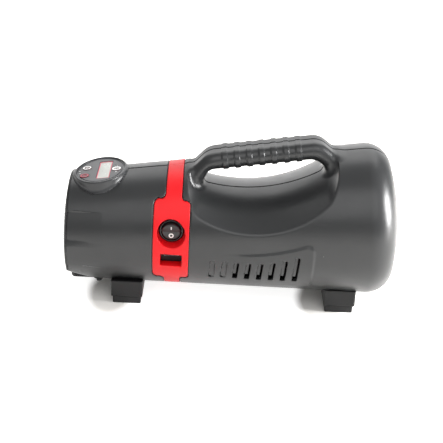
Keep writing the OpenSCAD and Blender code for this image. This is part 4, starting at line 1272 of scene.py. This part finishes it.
def screw_tree():
    """Pan head screws with a cross recess, one at each given point, each left at its own angle."""
    tree = bpy.data.node_groups.new("cross_recess_screws", "GeometryNodeTree")
    sizes = ("Head radius", "Head height", "Shank radius", "Shank length", "Recess length", "Recess width",
             "Recess depth")
    sockets = {"Places": "Geometry"} | dict.fromkeys(sizes, "Float")
    sockets |= {"Aim": "Rotation", "Seed": "Int", "Finish": "Material"}
    for label, kind in sockets.items():
        tree.interface.new_socket(label, in_out="INPUT", socket_type="NodeSocket" + kind)
    tree.interface.new_socket("Screws", in_out="OUTPUT", socket_type="NodeSocketGeometry")
    given = add(tree, "NodeGroupInput").outputs

    def scaled(socket, factor):
        return add(tree, "ShaderNodeMath", {0: socket, 1: factor}, operation="MULTIPLY")

    def lifted(shape, height):
        place = add(tree, "ShaderNodeCombineXYZ", {"Z": height})
        return add(tree, "GeometryNodeTransform", {"Geometry": shape, "Translation": place})

    def barrel(low, high, depth):
        sizes = {"Vertices": 32, "Radius Bottom": low, "Radius Top": high, "Depth": depth}
        return add(tree, "GeometryNodeMeshCone", sizes)

    def combined(how, inputs):
        return add(tree, "GeometryNodeMeshBoolean", inputs, operation=how, solver="EXACT")

    half = scaled(given["Head height"], 0.5)
    rim = barrel(given["Head radius"], given["Head radius"], half)
    crown = lifted(barrel(given["Head radius"], scaled(given["Head radius"], 0.74), half), half)
    sink = scaled(given["Head height"], 0.2)
    long = add(tree, "ShaderNodeMath", {0: given["Shank length"], 1: sink}, operation="ADD")
    shank = barrel(scaled(given["Shank radius"], 0.5), given["Shank radius"], long)
    shank = lifted(shank, scaled(given["Shank length"], -1))
    body = combined("UNION", {"Mesh 2": {rim, crown, shank}})
    arms = set()
    deep = scaled(given["Recess depth"], 2)
    for first, second in (("Recess length", "Recess width"), ("Recess width", "Recess length")):
        size = add(tree, "ShaderNodeCombineXYZ", {"X": given[first], "Y": given[second], "Z": deep})
        arms.add(lifted(add(tree, "GeometryNodeMeshCube", {"Size": size}), given["Head height"]))
    body = combined("DIFFERENCE", {"Mesh 1": body, "Mesh 2": arms})
    set_out = add(tree, "GeometryNodeInstanceOnPoints",
                  {"Points": given["Places"], "Instance": body, "Rotation": given["Aim"]})
    turn = add(tree, "FunctionNodeRandomValue", {"Max": math.pi / 2, "Seed": given["Seed"]},
               data_type="FLOAT")
    spin = add(tree, "ShaderNodeCombineXYZ", {"Z": turn})
    spin = add(tree, "FunctionNodeEulerToRotation", {"Euler": spin})
    left_at = add(tree, "GeometryNodeRotateInstances", {"Instances": set_out, "Rotation": spin})
    real = add(tree, "GeometryNodeRealizeInstances", {"Geometry": left_at})
    dressed = add(tree, "GeometryNodeSetMaterial", {"Geometry": real, "Material": given["Finish"]})
    add(tree, "NodeGroupOutput", {"Screws": dressed})
    return tree


def build_screws():
    tree = screw_tree()
    names = {item.name: item.identifier for item in tree.interface.items_tree if item.in_out == "INPUT"}
    heads = {"shell_screws": [(x, 8.05, z) for x, z in POSTS],
             "foot_screws": [(x, way * 22, PAD_H + 2.3) for x in FEET_X.values() for way in (-1, 1)]}
    # aim, head radius and height, shank length, seed
    kinds = {"shell_screws": ((-math.pi / 2, 0, 0), 2.7, 2.35, 15.95, 11),
             "foot_screws": ((math.pi, 0, 0), 2.9, 2.3, 12.7, 5)}
    for node, (aim, radius, height, length, seed) in kinds.items():
        obj = flesh(node + "_set", [[v * MM for v in head] for head in heads[node]], [])
        modifier = obj.modifiers.new("screws", "NODES")
        modifier.node_group = tree
        sizes = {"Head radius": radius, "Head height": height, "Shank radius": 1.5, "Shank length": length,
                 "Recess length": 2.9, "Recess width": 0.75, "Recess depth": 1.3}
        inputs = {label: size * MM for label, size in sizes.items()}
        for label, value in (inputs | {"Aim": aim, "Seed": seed, "Finish": STEEL}).items():
            modifier[names[label]] = value
        baked(obj)
        obj.data.shade_smooth()
        obj.data.set_sharp_from_angle(angle=math.radians(25))
        finish_piece(obj, STEEL, "case", "steel", node)


build_screws()

# ---------------------------------------------------------------- finishes of the inner parts


def board(name):
    """Glass epoxy board under green solder mask: copper tracks show through as paler, slightly raised runs.
    The tracks are drawn 0.6 mm wide, coarser than life, so that they show."""
    material, tree, where = new_finish(name)
    patch = add(tree, "ShaderNodeTexVoronoi", {"Vector": where, "Scale": per_metre(9.0)},
                distance="CHEBYCHEV")
    pick = add(tree, "ShaderNodeSeparateColor", {"Color": patch.outputs["Color"]})
    way = add(tree, "ShaderNodeMath", {0: pick, 1: 0.5}, operation="GREATER_THAN")
    along, across = (add(tree, "ShaderNodeTexWave", {"Vector": where, "Scale": WAVE / (TRACK_PITCH * MM)},
                         bands_direction=axis).outputs["Fac"] for axis in "XY")
    lines = add(tree, "ShaderNodeMix", {"Factor": way, "A": along, "B": across})
    track = add(tree, "ShaderNodeMapRange", {"Value": lines, "From Min": 0.45, "From Max": 0.6})
    shade = add(tree, "ShaderNodeMix", {"Factor": track, "A": linear("#1f5a31"), "B": linear("#3c8450")},
                data_type="RGBA")
    bump = add(tree, "ShaderNodeBump", {"Height": track, "Distance": 0.03 * MM})
    shader = add(tree, "ShaderNodeBsdfPrincipled", {"Base Color": shade, "Roughness": 0.32,
                                                    "Normal": bump})
    add(tree, "ShaderNodeOutputMaterial", {"Surface": shader})
    return material


def strung(name, colour, second, pitch, metallic, roughness):
    """Wire or yarn laid side by side at the given pitch, in two crossing directions that take turns."""
    material, tree, where = new_finish(name)
    slanted, upright = (add(tree, "ShaderNodeTexWave", {"Vector": where, "Scale": WAVE / (pitch * MM)},
                            bands_direction=axis).outputs["Fac"] for axis in ("DIAGONAL", "Z"))
    patch = add(tree, "ShaderNodeTexChecker", {"Vector": where, "Scale": per_metre(4 * pitch)})
    lay = add(tree, "ShaderNodeMix", {"Factor": patch.outputs["Fac"], "A": slanted, "B": upright})
    shade = add(tree, "ShaderNodeMix", {"Factor": lay, "A": linear(second), "B": linear(colour)},
                data_type="RGBA")
    bump = add(tree, "ShaderNodeBump", {"Height": lay, "Distance": 0.3 * pitch * MM})
    shader = add(tree, "ShaderNodeBsdfPrincipled", {"Base Color": shade, "Metallic": metallic,
                                                    "Roughness": roughness, "Normal": bump})
    add(tree, "ShaderNodeOutputMaterial", {"Surface": shader})
    return material


# A wave texture makes one band in 2 pi / 20 of its own units
WAVE = 2 * math.pi / 20
TRACK_PITCH = 1.3
# Solder masked glass epoxy: deep green with paler tracks under a soft gloss
SOLDER_MASK = board("solder_masked_board_green")
# Silicone over yellow phosphor: matt, faintly uneven
PHOSPHOR = moulded("cast_silicone_phosphor_yellow", "#ead45c", "#dfc74c", 0.4, 0.8, 0.006)
# Heat shrunk PVC sleeve round a cell: glossy, with faint drawn ripples
SLEEVE_TEAL = moulded("heat_shrunk_pvc_teal", "#2f7d6b", "#2a7363", 0.3, 3.0, 0.03)
SLEEVE_BLUE = moulded("heat_shrunk_pvc_blue", "#23345c", "#1e2e52", 0.3, 2.4, 0.03)
# Nickel strip of the bus bars: bright, rolled
NICKEL = metal("rolled_nickel_strip", "#c9c6bd", 0.25, 0.5, 0.003)
# Thermosetting case of the relay: black, dry
PHENOLIC = moulded("moulded_phenolic_black", "#22252b", "#1d2026", 0.55, 0.7, 0.03)
# Gravity die cast aluminium: dull and pebbled
CAST_ALUMINIUM = metal("die_cast_aluminium", "#a9adb1", 0.5, 1.1, 0.05)
# Drawn and turned aluminium of the cylinder
TURNED_ALUMINIUM = metal("turned_aluminium", "#bfc2c6", 0.3, 0.35, 0.006)
# Sintered bronze bushes: matt, pitted
BRONZE = metal("sintered_bronze", "#b08a55", 0.52, 0.5, 0.03)
# Enamelled copper wire of the armature, drawn at 0.9 mm so that each turn shows
WINDING = strung("enamelled_copper_winding", "#b5693c", "#6b3418", 0.9, 0.7, 0.3)
# Acetal of the crank gear: waxy ivory
ACETAL = moulded("moulded_acetal_ivory", "#d9d4c7", "#cfcabc", 0.36, 1.2, 0.01)
# Textile braid over the rubber air hose, yarns 1.1 mm apart
BRAID = strung("braided_rubber_hose", "#3a3a3c", "#1c1c1d", 1.1, 0.0, 0.6)

INNER_FINISH = {
    NYLON: ("switch_side_baffle", "outlet_side_baffle", "cell_holders", "cooling_fan"),
    SOLDER_MASK: ("lamp_board", "display_board", "usb_board", "main_board"),
    PHOSPHOR: ("lamp_leds",),
    SLEEVE_TEAL: ("battery_cells",),
    NICKEL: ("bus_bars",),
    PHENOLIC: ("power_relay",),
    SLEEVE_BLUE: ("capacitors",),
    CAST_ALUMINIUM: ("inflator_frame", "piston_rod", "cylinder_head"),
    TURNED_ALUMINIUM: ("pump_cylinder",),
    STEEL: ("prop_pin", "motor_can", "motor_pinion", "crank_bearing"),
    BRONZE: ("motor_bushes",),
    WINDING: ("motor_armature",),
    ACETAL: ("crank_gear",),
    BRAID: ("air_hose",)}
for finish, nodes in INNER_FINISH.items():
    for node in nodes:
        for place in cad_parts[node].material_slots:
            place.material = finish

# ---------------------------------------------------------------- stage and light, in metres
FLOOR_HALF = 6.0
FLOOR_Z = -0.0001
SHADE_LEFT = 0.016      # the oval beside each foot where the painted glow is held back and the floor keeps its shadow: its middle, its half sizes, and how it fades
SHADE_Y = -0.02
SHADE_SIZE = (0.022, 0.045)
SHADE_FADE = (0.65, 1.15)
# painted light: the floor's glow, which whitens the object's shadow everywhere but beside the feet
FLOOR_GLOW = 0.8
# Brightness of the tent by the sine of the height: a lit skirt, a dark waist and a soft top
TENT = ((0.0, 0.7), (1.0, 0.5), (0.3, 0.2), (0.62, 0.62), (0.86, 0.6))
WALL_FADE = (0.72, 0.94)         # where the lit wall behind begins and is full, by the direction's Y
WALL_GLOW = 1.5
# place, aim, width, height, watts
LAMPS = {"back": ((0, 0.8, 1.05), (0, 0, 0.09), 1.5, 0.6, 6),
         "right": ((1.15, -0.12, 0.38), (0.05, 0, 0.08), 0.42, 0.6, 34),
         "front": ((0.1, -1.05, 1.15), (0, 0, 0.07), 1.7, 1.2, 11)}
WHITE = (1, 1, 1, 1)


def build_floor():
    """White paper. To the camera and to reflections it glows pure white, a painted light that hides the
    object's shadow on it, except in an oval beside each foot, where the shadow is kept."""
    corners = [(x * FLOOR_HALF, y * FLOOR_HALF, FLOOR_Z) for x, y in ((-1, -1), (1, -1), (1, 1), (-1, 1))]
    floor = flesh("floor", corners, [(0, 1, 2, 3)])
    material, tree, where = new_finish("paper_white")
    ray = add(tree, "ShaderNodeLightPath").outputs
    seen = ray["Is Camera Ray"]
    for label in ("Is Glossy Ray", "Is Transmission Ray"):
        seen = add(tree, "ShaderNodeMath", {0: seen, 1: ray[label]}, operation="MAXIMUM")
    ovals = []
    for foot in FEET_X.values():
        middle = (foot * MM - SHADE_LEFT, SHADE_Y, 0)
        away = add(tree, "ShaderNodeVectorMath", {0: where, 1: middle}, operation="SUBTRACT")
        scale = (1 / SHADE_SIZE[0], 1 / SHADE_SIZE[1], 0)
        flat = add(tree, "ShaderNodeVectorMath", {0: away, 1: scale}, operation="MULTIPLY")
        ovals.append(add(tree, "ShaderNodeVectorMath", {0: flat}, operation="LENGTH"))
    far = add(tree, "ShaderNodeMath", {0: ovals[0], 1: ovals[1]}, operation="MINIMUM")
    glow = add(tree, "ShaderNodeMapRange", {"Value": far, "From Min": SHADE_FADE[0],
                                            "From Max": SHADE_FADE[1], "To Min": 0.0, "To Max": FLOOR_GLOW},
               interpolation_type="SMOOTHSTEP")
    paper = add(tree, "ShaderNodeBsdfDiffuse", {"Color": linear("#f4f2ee")})
    lift = add(tree, "ShaderNodeEmission", {"Color": WHITE, "Strength": glow})
    both = add(tree, "ShaderNodeAddShader", {0: paper, 1: lift})
    mix = add(tree, "ShaderNodeMixShader", {0: seen, 1: paper, 2: both})
    add(tree, "ShaderNodeOutputMaterial", {"Surface": mix})
    floor.data.materials.append(material)


def build_tent():
    """The world: plain white to the camera, and to the object a tent that is darker at its waist, with a
    lit wall behind."""
    world = bpy.data.worlds.new("tent")
    scene.world = world
    world.use_nodes = True
    tree = world.node_tree
    tree.nodes.clear()
    ray = add(tree, "ShaderNodeLightPath").outputs
    seen = add(tree, "ShaderNodeMath", {0: ray["Is Camera Ray"], 1: ray["Is Transmission Ray"]},
               operation="MAXIMUM")
    white = add(tree, "ShaderNodeBackground", {"Color": WHITE, "Strength": 1.0})
    way = add(tree, "ShaderNodeSeparateXYZ", {"Vector": add(tree, "ShaderNodeTexCoord").outputs["Generated"]})
    level = add(tree, "ShaderNodeValToRGB", {"Fac": way.outputs["Z"]})
    stops = level.color_ramp.elements            # it starts with two
    for k, (place, grey) in enumerate(TENT):
        stop = stops[k] if k < 2 else stops.new(place)
        stop.position = place
        stop.color = (grey, grey, grey, 1)
    tent = add(tree, "ShaderNodeBackground", {"Color": level, "Strength": 1.0})
    behind = add(tree, "ShaderNodeMapRange", {"Value": way.outputs["Y"], "From Min": WALL_FADE[0],
                                              "From Max": WALL_FADE[1], "To Min": 0.0, "To Max": WALL_GLOW},
                 interpolation_type="SMOOTHSTEP")
    wall = add(tree, "ShaderNodeBackground", {"Color": WHITE, "Strength": behind})
    lit = add(tree, "ShaderNodeAddShader", {0: tent, 1: wall})
    mix = add(tree, "ShaderNodeMixShader", {0: seen, 1: lit, 2: white})
    add(tree, "ShaderNodeOutputWorld", {"Surface": mix})


def hang_lamp(name, place, aim, width, height, watts):
    """A soft box at a place, turned to face its aim."""
    data = bpy.data.lights.new(name, "AREA")
    data.shape = "RECTANGLE"
    data.size, data.size_y, data.energy = width, height, watts
    lamp = bpy.data.objects.new(name, data)
    scene.collection.objects.link(lamp)
    back = np.subtract(place, aim)
    back = back / np.linalg.norm(back)
    right = np.cross((0, 0, 1), back)
    right /= np.linalg.norm(right)
    basis = np.eye(4)
    basis[:3, :3] = np.column_stack([right, np.cross(back, right), back])
    basis[:3, 3] = place
    lamp.matrix_world = Matrix(basis.tolist())


build_floor()
build_tent()
for name, lamp in LAMPS.items():
    hang_lamp(name, *lamp)

scene.view_settings.view_transform = "Standard"
